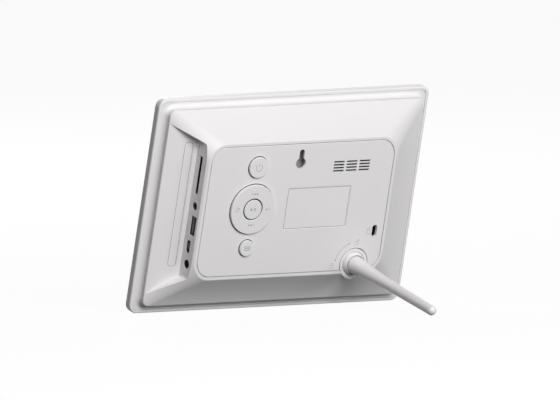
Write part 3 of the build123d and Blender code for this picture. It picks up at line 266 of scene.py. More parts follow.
# White ABS over painted shade: the buttons' walls turn dark grey in the gaps below the flat back.
key_gap_shaded = moulded("white_abs_painted_gap_shade", "#ECEAEB", "#E9E7E8", 0.40,
                      shade_below=flat_back)
play_gap_shaded = moulded("white_abs_painted_gap_shade_play", "#ECEAEB", "#E9E7E8", 0.40,
                       shade_below=cap_top - PLAY_SHADE_START)
# Grey and black mouldings: dull, with a broad and weak highlight.
grey_moulding = moulded("grey_abs_moulded", "#77797B", "#6E7072", 0.5)
black_moulding = moulded("black_nylon_moulded", "#17181A", "#1F2022", 0.45)
jack_moulding = moulded("grey_nylon_moulded", "#4A4C4E", "#434547", 0.4)
# The keyhole's cup is drawn pale grey instead of the casing's white: painted shade for its deep
# pocket.
pocket_shade_moulding = moulded("pale_grey_abs_pocket_shade", "#ABAAAB", "#A5A4A5", 0.5)
slate_moulding = moulded("slate_grey_nylon", "#5A6068", "#545A61", 0.45)
ash_moulding = moulded("ash_grey_nylon", "#7A7D80", "#737679", 0.45)
cream_moulding = moulded("cream_nylon_moulded", "#D9D0B4", "#CFC5A8", 0.5)
# Acetal is slippery and looks a little waxy, and powder coating has a fine orange peel.
brown_moulding = moulded("brown_acetal_moulded", "#3A2C22", "#33261E", 0.35)
coated_steel = moulded("black_powder_coated_steel", "#1B1C1D", "#222324", 0.5, 0.3, 0.006)
# Card and foam scatter all light and have no highlight, and PVC has a soft one.
white_card = moulded("white_mat_card", "#ECEAE6", "#E7E5E0", 0.85, 0.3, 0.02, 12.0)
foam_rubber = moulded("black_foam_cell", "#1B1B1C", "#141414", 0.95, 0.5, 0.08)
lead_rubber = moulded("red_pvc_sleeve", "#8C1E1A", "#7C1815", 0.4)
print("Materials so far:", len(bpy.data.materials))

# %% [markdown]
# ## Clear and dark glass
#
# The window is cast acrylic: clear, very slightly green-grey, with a hard polish.  A refracting
# shader could bend the light in it, but a flat sheet shifts what is behind it by a hair only.  So
# the window mixes see-through and mirror, more mirror at a shallow angle.  Behind it the display is
# off, so its glass cell is nearly black, and its anti-glare film blurs what it mirrors.

# %% Window, display cell and light guide
ACRYLIC_IOR = 1.49
CELL_IOR = 1.5
FILM_GRAIN = 0.3                           # anti-glare grain, drawn coarse to show, mm
CELL_DRIFT = 60.0                          # how wide the black drifts in tone, mm

clear_acrylic, tree, _ = new_material("clear_acrylic_cast")
facing = add_node(tree, "ShaderNodeFresnel", {"IOR": ACRYLIC_IOR})
glint = add_node(tree, "ShaderNodeBsdfGlossy", {"Color": paint("#FFFFFF"), "Roughness": 0.04})
clear = add_node(tree, "ShaderNodeBsdfTransparent", {"Color": paint("#F4F6F5")})
window = add_node(tree, "ShaderNodeMixShader", {
    "Fac": facing.outputs["Fac"], 1: clear.outputs[0], 2: glint.outputs[0],
})
add_node(tree, "ShaderNodeOutputMaterial", {"Surface": window.outputs[0]})

display_glass, tree, place = new_material("display_glass_film")
film = add_node(tree, "ShaderNodeTexNoise", {
    "Vector": place, "Scale": per_mm(FILM_GRAIN), "Detail": 2.0,
})
film_bump = add_node(tree, "ShaderNodeBump", {
    "Height": film.outputs["Fac"], "Strength": 0.3, "Distance": 0.003 * MM,
})
drift = add_node(tree, "ShaderNodeTexNoise", {
    "Vector": place, "Scale": per_mm(CELL_DRIFT), "Detail": 1.0,
})
dark = add_node(tree, "ShaderNodeMix", {
    "Factor": drift.outputs["Fac"], "A": paint("#0B0D10"), "B": paint("#101318"),
}, data_type="RGBA")
cell = add_node(tree, "ShaderNodeBsdfPrincipled", {
    "Base Color": dark.outputs["Result"], "Roughness": 0.22, "IOR": CELL_IOR,
    "Normal": film_bump.outputs["Normal"],
})
add_node(tree, "ShaderNodeOutputMaterial", {"Surface": cell.outputs[0]})

guide_acrylic = moulded("milky_acrylic_cast", "#E8ECEE", "#DFE5E8", 0.12, 0.6, 0.002)
print("Glass and acrylic made")

# %% [markdown]
# ## Metals
#
# The tray, the bracket and the lock plate are pressed from zinc-plated steel, which has a grey
# bloom and fine lines from rolling.  The port shells are nickel-plated, darker and smoother.  The
# lines could come from an image, but a noise has a real size and needs no file.  It is squeezed
# along one axis, so that it makes lines much longer than they are wide, and they turn the roughness
# up and down.  One function serves every metal.

# %% Metals
LINE_PLAY = 0.08                           # how far the lines turn the roughness up and down


def plated(name, colour, other, roughness, line=0.15, length=6.0):
    """Plated sheet or turned metal: two tones, roughness, width and length of its lines in mm.

    Real rolling lines are a few hundredths of a millimetre wide and are drawn wider to show.
    """
    material, tree, place = new_material(name)
    squeezed = add_node(tree, "ShaderNodeMapping", {
        "Vector": place, "Scale": (per_mm(length), per_mm(line), per_mm(line)),
    })
    lines = add_node(tree, "ShaderNodeTexNoise", {
        "Vector": squeezed.outputs["Vector"], "Scale": 1.0, "Detail": 3.0,
    })
    bloom = add_node(tree, "ShaderNodeTexNoise", {
        "Vector": place, "Scale": per_mm(5.0), "Detail": 3.0, "Roughness": 0.6,
    })
    tone = add_node(tree, "ShaderNodeMix", {
        "Factor": bloom.outputs["Fac"], "A": paint(colour), "B": paint(other),
    }, data_type="RGBA")
    polish = add_node(tree, "ShaderNodeMapRange", {
        "Value": lines.outputs["Fac"], "From Min": 0.3, "From Max": 0.7,
        "To Min": roughness - LINE_PLAY, "To Max": roughness + LINE_PLAY,
    })
    bump = add_node(tree, "ShaderNodeBump", {
        "Height": lines.outputs["Fac"], "Strength": 0.3, "Distance": 0.003 * MM,
    })
    surface = add_node(tree, "ShaderNodeBsdfPrincipled", {
        "Base Color": tone.outputs["Result"], "Roughness": polish.outputs["Result"],
        "Normal": bump.outputs["Normal"], "Metallic": 1.0,
    })
    add_node(tree, "ShaderNodeOutputMaterial", {"Surface": surface.outputs[0]})
    return material


# Zinc is grey and a little cloudy, nickel is darker and clearer, and black nickel is smoky.
zinc_steel = plated("zinc_plated_steel", "#A7A9AC", "#96989B", 0.4)
screw_steel = plated("zinc_plated_screw", "#8F9194", "#7F8184", 0.35, 0.1, 1.0)
nickel_shell = plated("nickel_plated_steel", "#8A8B8D", "#7C7D7F", 0.3)
black_nickel = plated("black_nickel_plate", "#3A3B3D", "#323335", 0.35)
# Bare and turned metals: brass is warm yellow, and drawn aluminium is the palest of all.
brass = plated("turned_brass", "#C9A75C", "#B8954B", 0.3, 0.1, 2.0)
aluminium_can = plated("drawn_aluminium", "#C4C6C9", "#B4B6B9", 0.3)
magnet_nickel = plated("nickel_plated_magnet", "#6E7073", "#626467", 0.35)
# Contacts and leads are stamped, so their lines are short.
gold_contact = plated("gold_plated_bronze", "#D3AE5A", "#C59F4B", 0.25, 0.05, 0.6)
solder_tin = plated("tin_plated_copper", "#B9BBBE", "#A5A7AA", 0.35, 0.05, 0.6)
print("Materials with the metals:", len(bpy.data.materials))

# %% [markdown]
# ## Circuit board
#
# A board is glass-fibre resin under green solder mask.  Copper tracks run below the mask in
# straight stretches and show as slightly lighter green.  Each track could be drawn, but the board
# is hidden in the casing and only has to look right through a port.  A Voronoi texture measured in
# city blocks (Manhattan distance) gives edges that run straight and turn at 45 and 90 degrees, as
# tracks do.

# %% Circuit board
TRACK_FIELD = 2.2                          # between two tracks, mm; real ones lie closer

circuit_board, tree, place = new_material("fibreglass_board_green")
tracks = add_node(tree, "ShaderNodeTexVoronoi", {
    "Vector": place, "Scale": per_mm(TRACK_FIELD), "Randomness": 0.6,
}, distance="MANHATTAN", feature="F1")
track_edge = add_node(tree, "ShaderNodeValToRGB", {"Fac": tracks.outputs["Distance"]})
track_edge.color_ramp.elements[0].position = 0.44
track_edge.color_ramp.elements[1].position = 0.5
mask = add_node(tree, "ShaderNodeMix", {
    "Factor": track_edge.outputs["Color"], "A": paint("#14532F"), "B": paint("#1E6A3C"),
}, data_type="RGBA")
mask_bump = add_node(tree, "ShaderNodeBump", {
    "Height": track_edge.outputs["Color"], "Strength": 0.4, "Distance": 0.02 * MM,
})
board = add_node(tree, "ShaderNodeBsdfPrincipled", {
    "Base Color": mask.outputs["Result"], "Roughness": 0.35, "IOR": 1.5,
    "Normal": mask_bump.outputs["Normal"],
})
add_node(tree, "ShaderNodeOutputMaterial", {"Surface": board.outputs[0]})
print("Circuit board with tracks about", TRACK_FIELD, "mm apart")

# %% [markdown]
# ## Films, paper and ink
#
# The label in the middle of the back and the strip beside the ports are satin polyester film.  The
# flat cable is amber polyimide over copper lines, which are half a millimetre apart and are drawn
# one millimetre apart to show.  The speaker's cone is pressed paper.  The marks on the back are
# pad-printed in grey ink, a few hundredths of a millimetre thick.  Film, paper and ink are even,
# dull surfaces with a grain of their own, so the function for plastics makes them too.

# %% Films, paper and ink
COPPER_WAVE = 3.2                          # a wave repeats in a third of this: lines 1 mm apart

# Film is smooth with a satin highlight, pressed paper is rough and dull, and ink is flat and matt.
label_film = moulded("satin_polyester_film", "#EDEBEC", "#EAE8E9", 0.34, 0.25, 0.002, 15.0)
cone_paper = moulded("black_cone_paper", "#202122", "#2A2B2D", 0.8, 0.35, 0.03, 3.0)
grey_ink = moulded("grey_pad_print_ink", "#A4A2A3", "#9E9C9D", 0.55, 0.2, 0.002, 2.0)
pale_ink = moulded("pale_pad_print_ink", "#BBB9BA", "#B5B3B4", 0.55, 0.2, 0.002, 2.0)

cable_film, tree, place = new_material("polyimide_flat_cable")
copper_lines = add_node(tree, "ShaderNodeTexWave", {
    "Vector": place, "Scale": per_mm(COPPER_WAVE), "Distortion": 0.0,
}, wave_type="BANDS", bands_direction="X")
film_tone = add_node(tree, "ShaderNodeMix", {
    "Factor": copper_lines.outputs["Fac"], "A": paint("#A8641C"), "B": paint("#C98A3A"),
}, data_type="RGBA")
cable = add_node(tree, "ShaderNodeBsdfPrincipled", {
    "Base Color": film_tone.outputs["Result"], "Roughness": 0.3,
})
add_node(tree, "ShaderNodeOutputMaterial", {"Surface": cable.outputs[0]})
print("Materials in all:", len(bpy.data.materials))

# %% [markdown]
# ## Dressing the CAD pieces
#
# Each CAD piece already has the right shape, so it only needs its finish.  Each could be given its
# material by hand.  A table that pairs every finish with its pieces is easier to read, and it shows
# at once which piece was forgotten.

# %% Finish of every CAD piece
finishes = {
    polished_white: ["front_bezel", "stand_leg"],
    grained_white: ["rear_cover", "rear_panel", "leg_collar"],
    key_gap_shaded: ["power_button", "menu_button", "navigation_ring"],
    play_gap_shaded: ["play_button"],
    grey_moulding: ["rocker_collar"],
    pocket_shade_moulding: ["keyhole_cup"],
    clear_acrylic: ["display_window"],
    white_card: ["picture_mat"],
    display_glass: ["display_cell"],
    guide_acrylic: ["light_guide"],
    zinc_steel: ["backlight_tray", "display_bracket", "lock_plate"],
    coated_steel: ["speaker_basket"],
    screw_steel: ["bracket_screws", "case_screws", "key_board_screws", "board_screws"],
    cable_film: ["display_flex"],
    label_film: ["rating_label", "port_label_strip"],
    foam_rubber: ["speaker_gasket"],
    cone_paper: ["speaker_cone"],
    magnet_nickel: ["speaker_magnet"],
    lead_rubber: ["speaker_leads"],
    cream_moulding: ["lead_socket", "flex_socket"],
    black_moulding: ["tact_switches", "board_link", "board_chips", "card_reader", "usb_block",
                     "power_jack"],
    slate_moulding: ["usb_insulator"],
    ash_moulding: ["mini_usb_insulator"],
    brown_moulding: ["power_plunger", "play_plunger", "menu_plunger", "ring_plungers"],
    circuit_board: ["key_board", "main_board"],
    brass: ["board_standoffs"],
    aluminium_can: ["capacitors"],
    jack_moulding: ["headphone_jack"],
    nickel_shell: ["usb_shell", "mini_usb_shell"],
    black_nickel: ["power_jack_pin"],
}
dressed = set()
for finish, names in finishes.items():
    for name in names:
        solids[name].data.materials.clear()
        solids[name].data.materials.append(finish)
        dressed.add(name)
print("Pieces without a finish:", sorted(set(solids) - dressed))

# %% [markdown]
# ## Marks printed on the back
#
# On the real back, the marks are printed in thin grey ink.  An image laid on the plastic could do,
# but it blurs from near.  So every mark is drawn flat, in millimetres, as a few outlines that stay
# sharp: ribbons along a line or an arc, and filled shapes.

# %% Drawing helpers for marks
STROKE = 0.36                              # width of a printed line, mm


def arc(radius, start, end, x=0.0, y=0.0, steps=28):
    """Points on a circle from one angle to another, in degrees."""
    turns = [radians(start + (end - start) * i / steps) for i in range(steps + 1)]
    return [Vector((x + radius * cos(t), y + radius * sin(t))) for t in turns]


def ribbon(points, width=STROKE):
    """Outline of a line of even width along some points."""
    points = [Vector(p) for p in points]
    left, right = [], []
    for i, point in enumerate(points):
        before, after = points[max(i - 1, 0)], points[min(i + 1, len(points) - 1)]
        along = (after - before).normalized()
        side = Vector((-along.y, along.x)) * width / 2
        left.append(point + side)
        right.append(point - side)
    return left + right[::-1]


def bar(x0, y0, x1, y1):
    """Outline of an upright rectangle."""
    return [Vector((x0, y0)), Vector((x1, y0)), Vector((x1, y1)), Vector((x0, y1))]


def arrow(x, y, size, turn):
    """Outline of a filled triangle about (x, y), pointing along an angle in degrees."""
    return [
        Vector((x, y)) + size * Vector((cos(radians(turn + step)), sin(radians(turn + step))))
        for step in (0, 130, 230)
    ]


def moved(outlines, x, y, turn=0.0):
    """The outlines turned by an angle in degrees and then shifted."""
    spin = Matrix.Rotation(radians(turn), 2)
    return [[spin @ Vector(p) + Vector((x, y)) for p in outline] for outline in outlines]


print("A quarter turn of 10 mm radius ends at", tuple(round(p, 3) for p in arc(10, 0, 90)[-1]))

# %% [markdown]
# A pad printer lays ink on a finished moulding.  Here each outline becomes a face, the faces are
# raised by the thickness of the ink, and one matrix lays the whole mark on its piece.  The mark is
# told which body it rides on, so the ring's signs rock with the ring.

# %% Print a mark
INK = 0.03                                 # thickness of the print, mm


def print_mark(name, outlines, matrix, body, ink=grey_ink):
    """Fills the outlines, gives them the ink's thickness, and places them on a body."""
    mark = bmesh.new()
    for outline in outlines:
        face = mark.faces.new([mark.verts.new((p[0], p[1], 0.0)) for p in outline])
        face.normal_update()
        if face.normal.z < 0:
            face.normal_flip()
    raised = bmesh.ops.extrude_face_region(mark, geom=list(mark.faces))
    tops = [part for part in raised["geom"] if isinstance(part, bmesh.types.BMVert)]
    bmesh.ops.translate(mark, vec=(0, 0, INK), verts=tops)
    bmesh.ops.recalc_face_normals(mark, faces=mark.faces)
    mark.transform(matrix)
    mesh = bpy.data.meshes.new(name)
    mark.to_mesh(mesh)
    mark.free()
    mesh.materials.append(ink)
    piece = bpy.data.objects.new(name, mesh)
    scene.collection.objects.link(piece)
    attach(piece, body)
    return piece


print("Ink is", INK, "mm thick")

# %% [markdown]
# The power button carries the usual broken ring with a bar.  The ring has four signs: step back
# above, step on below, turn the picture on the left, and leave on the right.  The middle button
# plays and pauses, and the lower one has the three bars of a menu.  Each sign is drawn round the
# middle of its button, and the ring's four are then moved out to where the ring is pressed.

# %% Marks on the buttons


def on_cap(button):
    """Drawing on the cap of a button, with its origin in the button's middle."""
    centre = middle(button)
    return on_back(centre.x, centre.y, cap_top)


print_mark("mark_power", [
    ribbon(arc(2.45, 125, 415)),
    bar(-STROKE / 2, 0.7, STROKE / 2, 3.0),
], on_cap("power_button"), "power_button")

print_mark("mark_menu", [
    bar(-2.5, y - 0.2, 2.5, y + 0.2) for y in (-1.15, 0.0, 1.15)
], on_cap("menu_button"), "menu_button")

print_mark("mark_play", [
    arrow(-1.2, 0, 1.35, 0),
    bar(0.75, -1.05, 1.2, 1.05),
    bar(1.65, -1.05, 2.1, 1.05),
], on_cap("play_button"), "play_button")

STEP_OUT, TURN_OUT, LEAVE_OUT = 11.1, 12.3, 11.7      # from the ring's middle to its signs, mm

step_sign = [arrow(1.3, 0, 1.15, 180), arrow(-0.7, 0, 1.15, 180), bar(-2.8, -1.0, -2.45, 1.0)]
turn_sign = [
    ribbon([(-1.5, -1.3), (0.7, -1.3)]), ribbon([(-1.5, 0.9), (0.7, 0.9)]),
    ribbon([(-1.5, -1.12), (-1.5, 0.72)]), ribbon([(0.7, -1.12), (0.7, 0.72)]),
    ribbon(arc(1.3, 5, 80, 0.4, 0.2)), arrow(0.35, 1.62, 0.55, 180),
]
leave_sign = [ribbon([(-0.6, 0), (0.9, 0)]), ribbon(arc(0.65, -90, 90, 0.9, 0.65)),
              arrow(-1.0, 0, 0.95, 180)]
print_mark("mark_ring", (
    moved(step_sign, 0.2, STEP_OUT)
    + moved(step_sign, -0.2, -STEP_OUT, 180)
    + moved(turn_sign, -TURN_OUT, 0.1)
    + moved(leave_sign, LEAVE_OUT, -0.2)
), on_cap("play_button"), "navigation_ring", pale_ink)
print("Marks on the buttons are printed")

# %% [markdown]
# Beside the leg, an arc with an arrow at each end joins a closed padlock to an open one: a quarter
# turn frees the leg.  A third padlock marks the slot for a cable lock.  All three come from one
# function, and the arc is drawn round the axis on which the leg turns.

# %% Marks on the panel
LOCK_STROKE = 0.3                          # width of the padlocks' lines, mm


def padlock(width, height, opened=False):
    """A padlock in outline: a box and its shackle, which hangs off one side when it is open.

    The shackle's bow, its shift and the box's upper edge are shares of the width and the height.
    """
    half = width / 2
    shift = width * 0.45 if opened else 0.0
    bow = width * 0.34
    waist = height * 0.08
    corners = [(-half, -height / 2), (half, -height / 2), (half, waist), (-half, waist)]
    sides = [ribbon([corners[i], corners[(i + 1) % 4]], LOCK_STROKE) for i in range(4)]
    shackle = arc(bow, 0, 180, shift, height / 2 - bow)
    if opened:
        shackle = shackle + [Vector((shift - bow, waist))]
    else:
        shackle = [Vector((bow, waist))] + shackle + [Vector((-bow, waist))]
    return sides + [ribbon(shackle, LOCK_STROKE)]


TWIST_RADIUS = 15.4                        # of the arc round the leg's socket, mm
TWIST_STROKE = 0.42                        # width of the arc, mm
TWIST_START, TWIST_END = 110, 170          # where the arc's two arrows stand, degrees
TWIST_TIP = 2                              # from an arrow's middle to the end of the line, degrees
TWIST_ARROW = 0.85                         # from an arrow's middle to its tip, mm
LOCK_MARK = Vector((-4.8, 0.2, 0.0))       # from the middle of the lock slot to its padlock, mm

socket = (to_drawing @ Vector(joints["leg_twist"]["pos_m"]) - drawing_start) / MM
line = arc(TWIST_RADIUS, TWIST_START + TWIST_TIP, TWIST_END - TWIST_TIP)
twist_marks = [ribbon(line, TWIST_STROKE)]
for turn, heading in ((TWIST_START, TWIST_START - 90), (TWIST_END, TWIST_END + 90)):
    place = arc(TWIST_RADIUS, turn, turn, steps=1)[0]
    twist_marks += [arrow(place.x, place.y, TWIST_ARROW, heading)]
twist_marks += moved(padlock(2.6, 3.4), -17.3, -0.7)
twist_marks += moved(padlock(2.8, 3.4, opened=True), 0.3, 15.2)
by_leg = on_back(socket.x, socket.y, flat_back)
print_mark("mark_leg_twist", twist_marks, by_leg, "casing", pale_ink)

lock_sign = middle("lock_plate") + LOCK_MARK
by_lock_slot = on_back(lock_sign.x, lock_sign.y, flat_back)
print_mark("mark_lock", padlock(2.8, 4.4), by_lock_slot, "casing", pale_ink)
print("Marks on the panel are printed")

# %% [markdown]
# The label and the strip beside the ports are left bare, but a thin grey line runs round the inside
# of each: painted shade for the gap around it.  The strip lies on the sloping floor of the recess,
# so its drawing is tilted about the way up the back.  The tilt and both sizes are read from the CAD
# pieces, so the line always fits.

# %% Painted gap shade round the label and the strip
GAP_SHADE_WIDTH = 0.36                              # width of the painted shade line, mm
LABEL_CORNER = 1.0                         # corner radius of the label, mm
STRIP_CORNER = 2.4                         # corner radius of the strip, mm


def border(width, height, corner, line):
    """Four ribbons that run once round the inside of a rectangle with rounded corners."""
    bend = corner - line / 2
    half_x, half_y = (width - line) / 2 - bend, (height - line) / 2 - bend
    places = ((half_x, half_y, 0), (-half_x, half_y, 90), (-half_x, -half_y, 180),
              (half_x, -half_y, 270))
    bends = [arc(bend, start, start + 90, x, y, 8) for x, y, start in places]
    return [ribbon(bends[i] + [bends[(i + 1) % 4][0]], line) for i in range(4)]


def outer_face(name):
    """Width and height of a flat CAD piece's outer face, in mm, and a drawing in its middle."""
    mesh = solids[name].data
    outer = [face for face in mesh.polygons if face.normal.dot(out_of_back) > 0]
    face_out = max(outer, key=lambda face: face.area).normal.copy()
    face_right = up_the_back.cross(face_out).normalized()
    to_face = Matrix((face_right, up_the_back, face_out))
    places = [to_face @ vertex.co for vertex in mesh.vertices]
    low, high = Vector(map(min, zip(*places))), Vector(map(max, zip(*places)))
    centre = Vector(((low.x + high.x) / 2, (low.y + high.y) / 2, high.z))
    place = (to_drawing @ to_face.transposed() @ centre - drawing_start) / MM
    size = (high - low) / MM
    return size.x, size.y, placing(face_right, up_the_back, face_out, *place)


# A grey line round the inside edge of each piece is painted shade for the gap around it.
width, height, face = outer_face("rating_label")
print_mark("label_gap_shade", border(width, height, LABEL_CORNER, GAP_SHADE_WIDTH), face, "casing")
width, height, face = outer_face("port_label_strip")
print_mark("strip_gap_shade", border(width, height, STRIP_CORNER, GAP_SHADE_WIDTH), face, "casing")
print("Borders are printed on the label and the strip")

# %% [markdown]
# ## Contacts inside the ports
#
# The USB ports and the card reader have rows of springy gold-plated strips.  The strips could be
# copied one by one, but a row is one rule, "this many strips, this far apart".  So a Geometry Nodes
# tree makes it: a line of points, a strip on each point, and the material set at the end.  The same
# tree serves all ports, and the chips, with other numbers.

# %% A comb of contacts, in Geometry Nodes
comb_tree = bpy.data.node_groups.new("contact_comb", "GeometryNodeTree")
comb_tree.is_modifier = True
for label, kind, value in (
    ("Strips", "NodeSocketInt", 4),
    ("Pitch", "NodeSocketFloat", 2.5),
    ("Width", "NodeSocketFloat", 1.0),
    ("Length", "NodeSocketFloat", 8.0),
    ("Thickness", "NodeSocketFloat", 0.2),
    ("Metal", "NodeSocketMaterial", None),
):
    comb_input = comb_tree.interface.new_socket(label, in_out="INPUT", socket_type=kind)
    if value is not None:
        comb_input.default_value = value
comb_tree.interface.new_socket("Comb", in_out="OUTPUT", socket_type="NodeSocketGeometry")
given = add_node(comb_tree, "NodeGroupInput").outputs
gaps = add_node(comb_tree, "ShaderNodeMath", {0: given["Strips"], 1: 1.0}, operation="SUBTRACT")
run = add_node(comb_tree, "ShaderNodeMath", {
    0: gaps.outputs[0], 1: given["Pitch"],
}, operation="MULTIPLY")
first = add_node(comb_tree, "ShaderNodeMath", {0: run.outputs[0], 1: -0.5}, operation="MULTIPLY")
start = add_node(comb_tree, "ShaderNodeCombineXYZ", {"X": first.outputs[0]})
step = add_node(comb_tree, "ShaderNodeCombineXYZ", {"X": given["Pitch"]})
row = add_node(comb_tree, "GeometryNodeMeshLine", {
    "Count": given["Strips"], "Start Location": start.outputs[0], "Offset": step.outputs[0],
}, mode="OFFSET")
size = add_node(comb_tree, "ShaderNodeCombineXYZ", {
    "X": given["Width"], "Y": given["Thickness"], "Z": given["Length"],
})
strip = add_node(comb_tree, "GeometryNodeMeshCube", {"Size": size.outputs[0]})
strips = add_node(comb_tree, "GeometryNodeInstanceOnPoints", {
    "Points": row.outputs[0], "Instance": strip.outputs["Mesh"],
})
real = add_node(comb_tree, "GeometryNodeRealizeInstances", {"Geometry": strips.outputs[0]})
plated_comb = add_node(comb_tree, "GeometryNodeSetMaterial", {
    "Geometry": real.outputs[0], "Material": given["Metal"],
})
add_node(comb_tree, "NodeGroupOutput", {"Comb": plated_comb.outputs[0]})
print("The comb's tree has", len(comb_tree.nodes), "nodes")

# %% [markdown]
# The tree is used through a modifier.  Its inputs are set by their identifiers, the result is
# turned into a plain mesh, and the modifier is taken off again, so that the finished row is an
# ordinary object whose place is in its mesh.

# %% A row of contacts


def contact_comb(name, matrix, body, metal_slot, **sizes):
    """A row of strips with its middle at the matrix's origin, made plain mesh and placed."""
    carrier = bpy.data.objects.new(name, bpy.data.meshes.new(name))
    scene.collection.objects.link(carrier)
    modifier = carrier.modifiers.new("comb", "NODES")
    modifier.node_group = comb_tree
    for item in comb_tree.interface.items_tree:
        if item.in_out == "INPUT" and item.name in sizes:
            modifier[item.identifier] = sizes[item.name]
    ready = carrier.evaluated_get(bpy.context.evaluated_depsgraph_get())
    mesh = bpy.data.meshes.new_from_object(ready)
    carrier.modifiers.remove(modifier)
    mesh.transform(matrix)
    carrier.data = mesh
    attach(carrier, body)
    return carrier


print("Inputs of a row:", [item.name for item in comb_tree.interface.items_tree])

# %% [markdown]
# A USB socket has four strips on its tongue, a mini USB socket has five, and a card reader has nine
# springs on its floor.  Their numbers and pitches are standard.  The strips lie along the way in,
# behind the mouth, so none of them can stick out of its port.

# %% Contacts of the USB ports and the card reader
board_face = drawn("main_board")[1].z      # height of the board's upper face, mm

# Name, port, depth of the row's middle behind the mouth, height above the board, number of strips,
# pitch, width, length and thickness; all lengths in mm.
contact_rows = (
    ("contacts_usb", "usb_shell", 4.45, 3.97, 4, 2.5, 1.1, 7.0, 0.16),
    ("contacts_mini_usb", "mini_usb_shell", 2.75, 1.76, 5, 0.8, 0.4, 3.8, 0.14),
    ("contacts_card", "card_reader", 17.1, 1.1, 9, 2.5, 1.2, 9.0, 0.3),
)
for name, port, depth, above, count, pitch, width, length, thickness in contact_rows:
    mouth = drawn(port)[0].x
    in_port = placing(up_the_back, out_of_back, -across,
                      mouth + depth, middle(port).y, board_face + above)
    contact_comb(
        name, in_port, "casing", "plug_metal", Strips=count, Pitch=pitch, Width=width,
        Length=length, Thickness=thickness, Metal=gold_contact,
    )
print("Rows of contacts in the ports:", len(contact_rows))

# %% [markdown]
# The chips on the main board stand on rows of tinned leads.  A lead is stamped from copper strip
# and bent down to the board.  One strip drawn right under the chip shows as a lead on both of its
# sides, so a single comb serves two rows.  Real leads are half a millimetre apart, which is too
# fine to see at this size, so they are drawn 0.8 mm apart.

# %% Leads of the chips
LEAD_RISE = 0.1                            # middle of a lead above the board, mm
LEAD_THICKNESS = 0.15                      # mm
LEAD_SHARE = 0.4                           # width of a lead as a share of the pitch
LEADS_ALONG_Y = (up_the_back, out_of_back, across)
LEADS_ALONG_X = (-across, out_of_back, up_the_back)

# Name, directions, x and y of the chip's middle, leads on a side, pitch, and length over both
# sides; all lengths in mm.
chip_rows = (
    ("leads_processor_sides", LEADS_ALONG_Y, -30.0, 2.0, 16, 0.8, 16.2),
    ("leads_processor_ends", LEADS_ALONG_X, -30.0, 2.0, 16, 0.8, 16.2),
    ("leads_flash", LEADS_ALONG_Y, -30.0, 24.0, 14, 0.8, 20.0),
    ("leads_memory", LEADS_ALONG_Y, -6.0, -6.0, 27, 0.8, 12.2),
    ("leads_amplifier", LEADS_ALONG_X, -8.0, 30.0, 6, 1.27, 8.4),
)
for name, directions, x, y, count, pitch, length in chip_rows:
    contact_comb(
        name, placing(*directions, x, y, board_face + LEAD_RISE), "casing", "plug_metal",
        Strips=count, Pitch=pitch, Width=LEAD_SHARE * pitch, Length=length,
        Thickness=LEAD_THICKNESS, Metal=solder_tin,
    )
print("Rows of chip leads:", len(chip_rows))

# %% [markdown]
# ## Floor and room
#
# The frame stands on a white table in a white room.  A plain white floor and sky could do, but they
# would throw so much light back that the frame's underside would lose its shade.  So both are white
# to the camera and in reflections, and send little light to the object.  What the camera sees of
# the floor is mostly glow, with a small share of matt paint that takes the frame's shadow.

# %% Floor and room
FLOOR_HALF = 12.0                          # half the floor's width, m
FLOOR_GLOW = 0.95                          # share of plain white in what the camera sees of it
FLOOR_SEEN = "#F4F4F4"                     # matt paint that takes the shadow, as it is seen
FLOOR_LIT = "#343434"                      # how little of the light the floor throws back
ROOM_LIGHT = 0.03                          # light of the room on the object; 1 is what is seen

floor_mesh = bpy.data.meshes.new("studio_floor")
floor_mesh.from_pydata(
    [(-FLOOR_HALF, -FLOOR_HALF, 0), (FLOOR_HALF, -FLOOR_HALF, 0),
     (FLOOR_HALF, FLOOR_HALF, 0), (-FLOOR_HALF, FLOOR_HALF, 0)],
    [], [(0, 1, 2, 3)],
)
floor = bpy.data.objects.new("studio_floor", floor_mesh)
scene.collection.objects.link(floor)


def seen_ray(tree):
    """One where a ray comes from the camera, a reflection or a clear piece, and zero elsewhere."""
    ray = add_node(tree, "ShaderNodeLightPath")
    mirrored = add_node(tree, "ShaderNodeMath", {
        0: ray.outputs["Is Camera Ray"], 1: ray.outputs["Is Glossy Ray"],
    }, operation="MAXIMUM")
    through = add_node(tree, "ShaderNodeMath", {
        0: mirrored.outputs[0], 1: ray.outputs["Is Transmission Ray"],
    }, operation="MAXIMUM")
    return through.outputs[0]


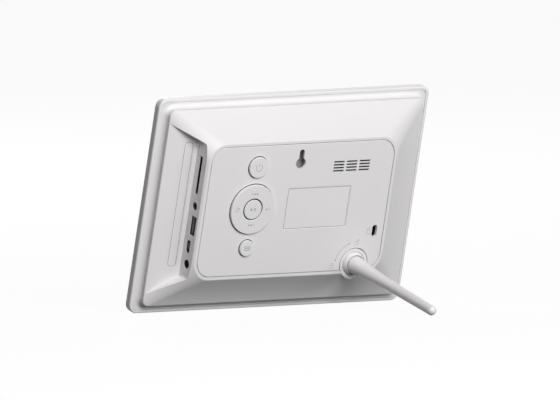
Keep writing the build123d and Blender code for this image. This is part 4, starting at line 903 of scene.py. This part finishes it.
floor_material, tree, _ = new_material("painted_studio_floor")
matt = add_node(tree, "ShaderNodeBsdfDiffuse", {"Color": paint(FLOOR_LIT)})
matt_seen = add_node(tree, "ShaderNodeBsdfDiffuse", {"Color": paint(FLOOR_SEEN)})
glow = add_node(tree, "ShaderNodeEmission", {"Color": paint("#FFFFFF"), "Strength": 1.0})
bright = add_node(tree, "ShaderNodeMixShader", {
    "Fac": FLOOR_GLOW, 1: matt_seen.outputs[0], 2: glow.outputs[0],
})
painted_floor = add_node(tree, "ShaderNodeMixShader", {
    "Fac": seen_ray(tree), 1: matt.outputs[0], 2: bright.outputs[0],
})
add_node(tree, "ShaderNodeOutputMaterial", {"Surface": painted_floor.outputs[0]})
floor_material.cycles.emission_sampling = "NONE"     # it looks white but is no lamp
floor_mesh.materials.append(floor_material)

world = bpy.data.worlds.new("pale_room")
world.use_nodes = True
scene.world = world
tree = world.node_tree
tree.nodes.clear()
strength = add_node(tree, "ShaderNodeMapRange", {
    "Value": seen_ray(tree), "To Min": ROOM_LIGHT, "To Max": 1.0,
})
room = add_node(tree, "ShaderNodeBackground", {
    "Color": paint("#FFFFFF"), "Strength": strength.outputs["Result"],
})
add_node(tree, "ShaderNodeOutputWorld", {"Surface": room.outputs[0]})
print("Floor", 2 * FLOOR_HALF, "m wide; the room lights the frame at", ROOM_LIGHT)

# %% [markdown]
# ## Lamps
#
# The frame is lit as products are: one large soft lamp above the camera, a weaker one to its right,
# and a third one for the front of the frame.  Small lamps would be simpler to aim, but their
# shadows are hard.  A big lamp near the object gives soft, short ones.

# %% Lamps
LAMP_SIZE = 0.9                            # side of a square lamp, m
LAMP_DISTANCE = 1.6                        # from the middle of the rim, m


def softbox(name, azimuth, elevation, power):
    """A square lamp of some watts that looks at the frame from two angles in degrees."""
    data = bpy.data.lights.new(name, "AREA")
    data.shape = "SQUARE"
    data.size = LAMP_SIZE
    data.energy = power
    to_lamp = towards(azimuth, elevation)
    lamp = bpy.data.objects.new(name, data)
    lamp.location = middle_of_rim + LAMP_DISTANCE * to_lamp
    lamp.rotation_euler = looking_back(to_lamp)
    scene.collection.objects.link(lamp)
    return lamp


lamps = (
    softbox("lamp_above", azimuth=168, elevation=27, power=22.6),
    softbox("lamp_right", azimuth=213, elevation=4, power=7.2),
    softbox("lamp_front", azimuth=345, elevation=32, power=16.0),
)
print("Lamps:", [lamp.name for lamp in lamps])
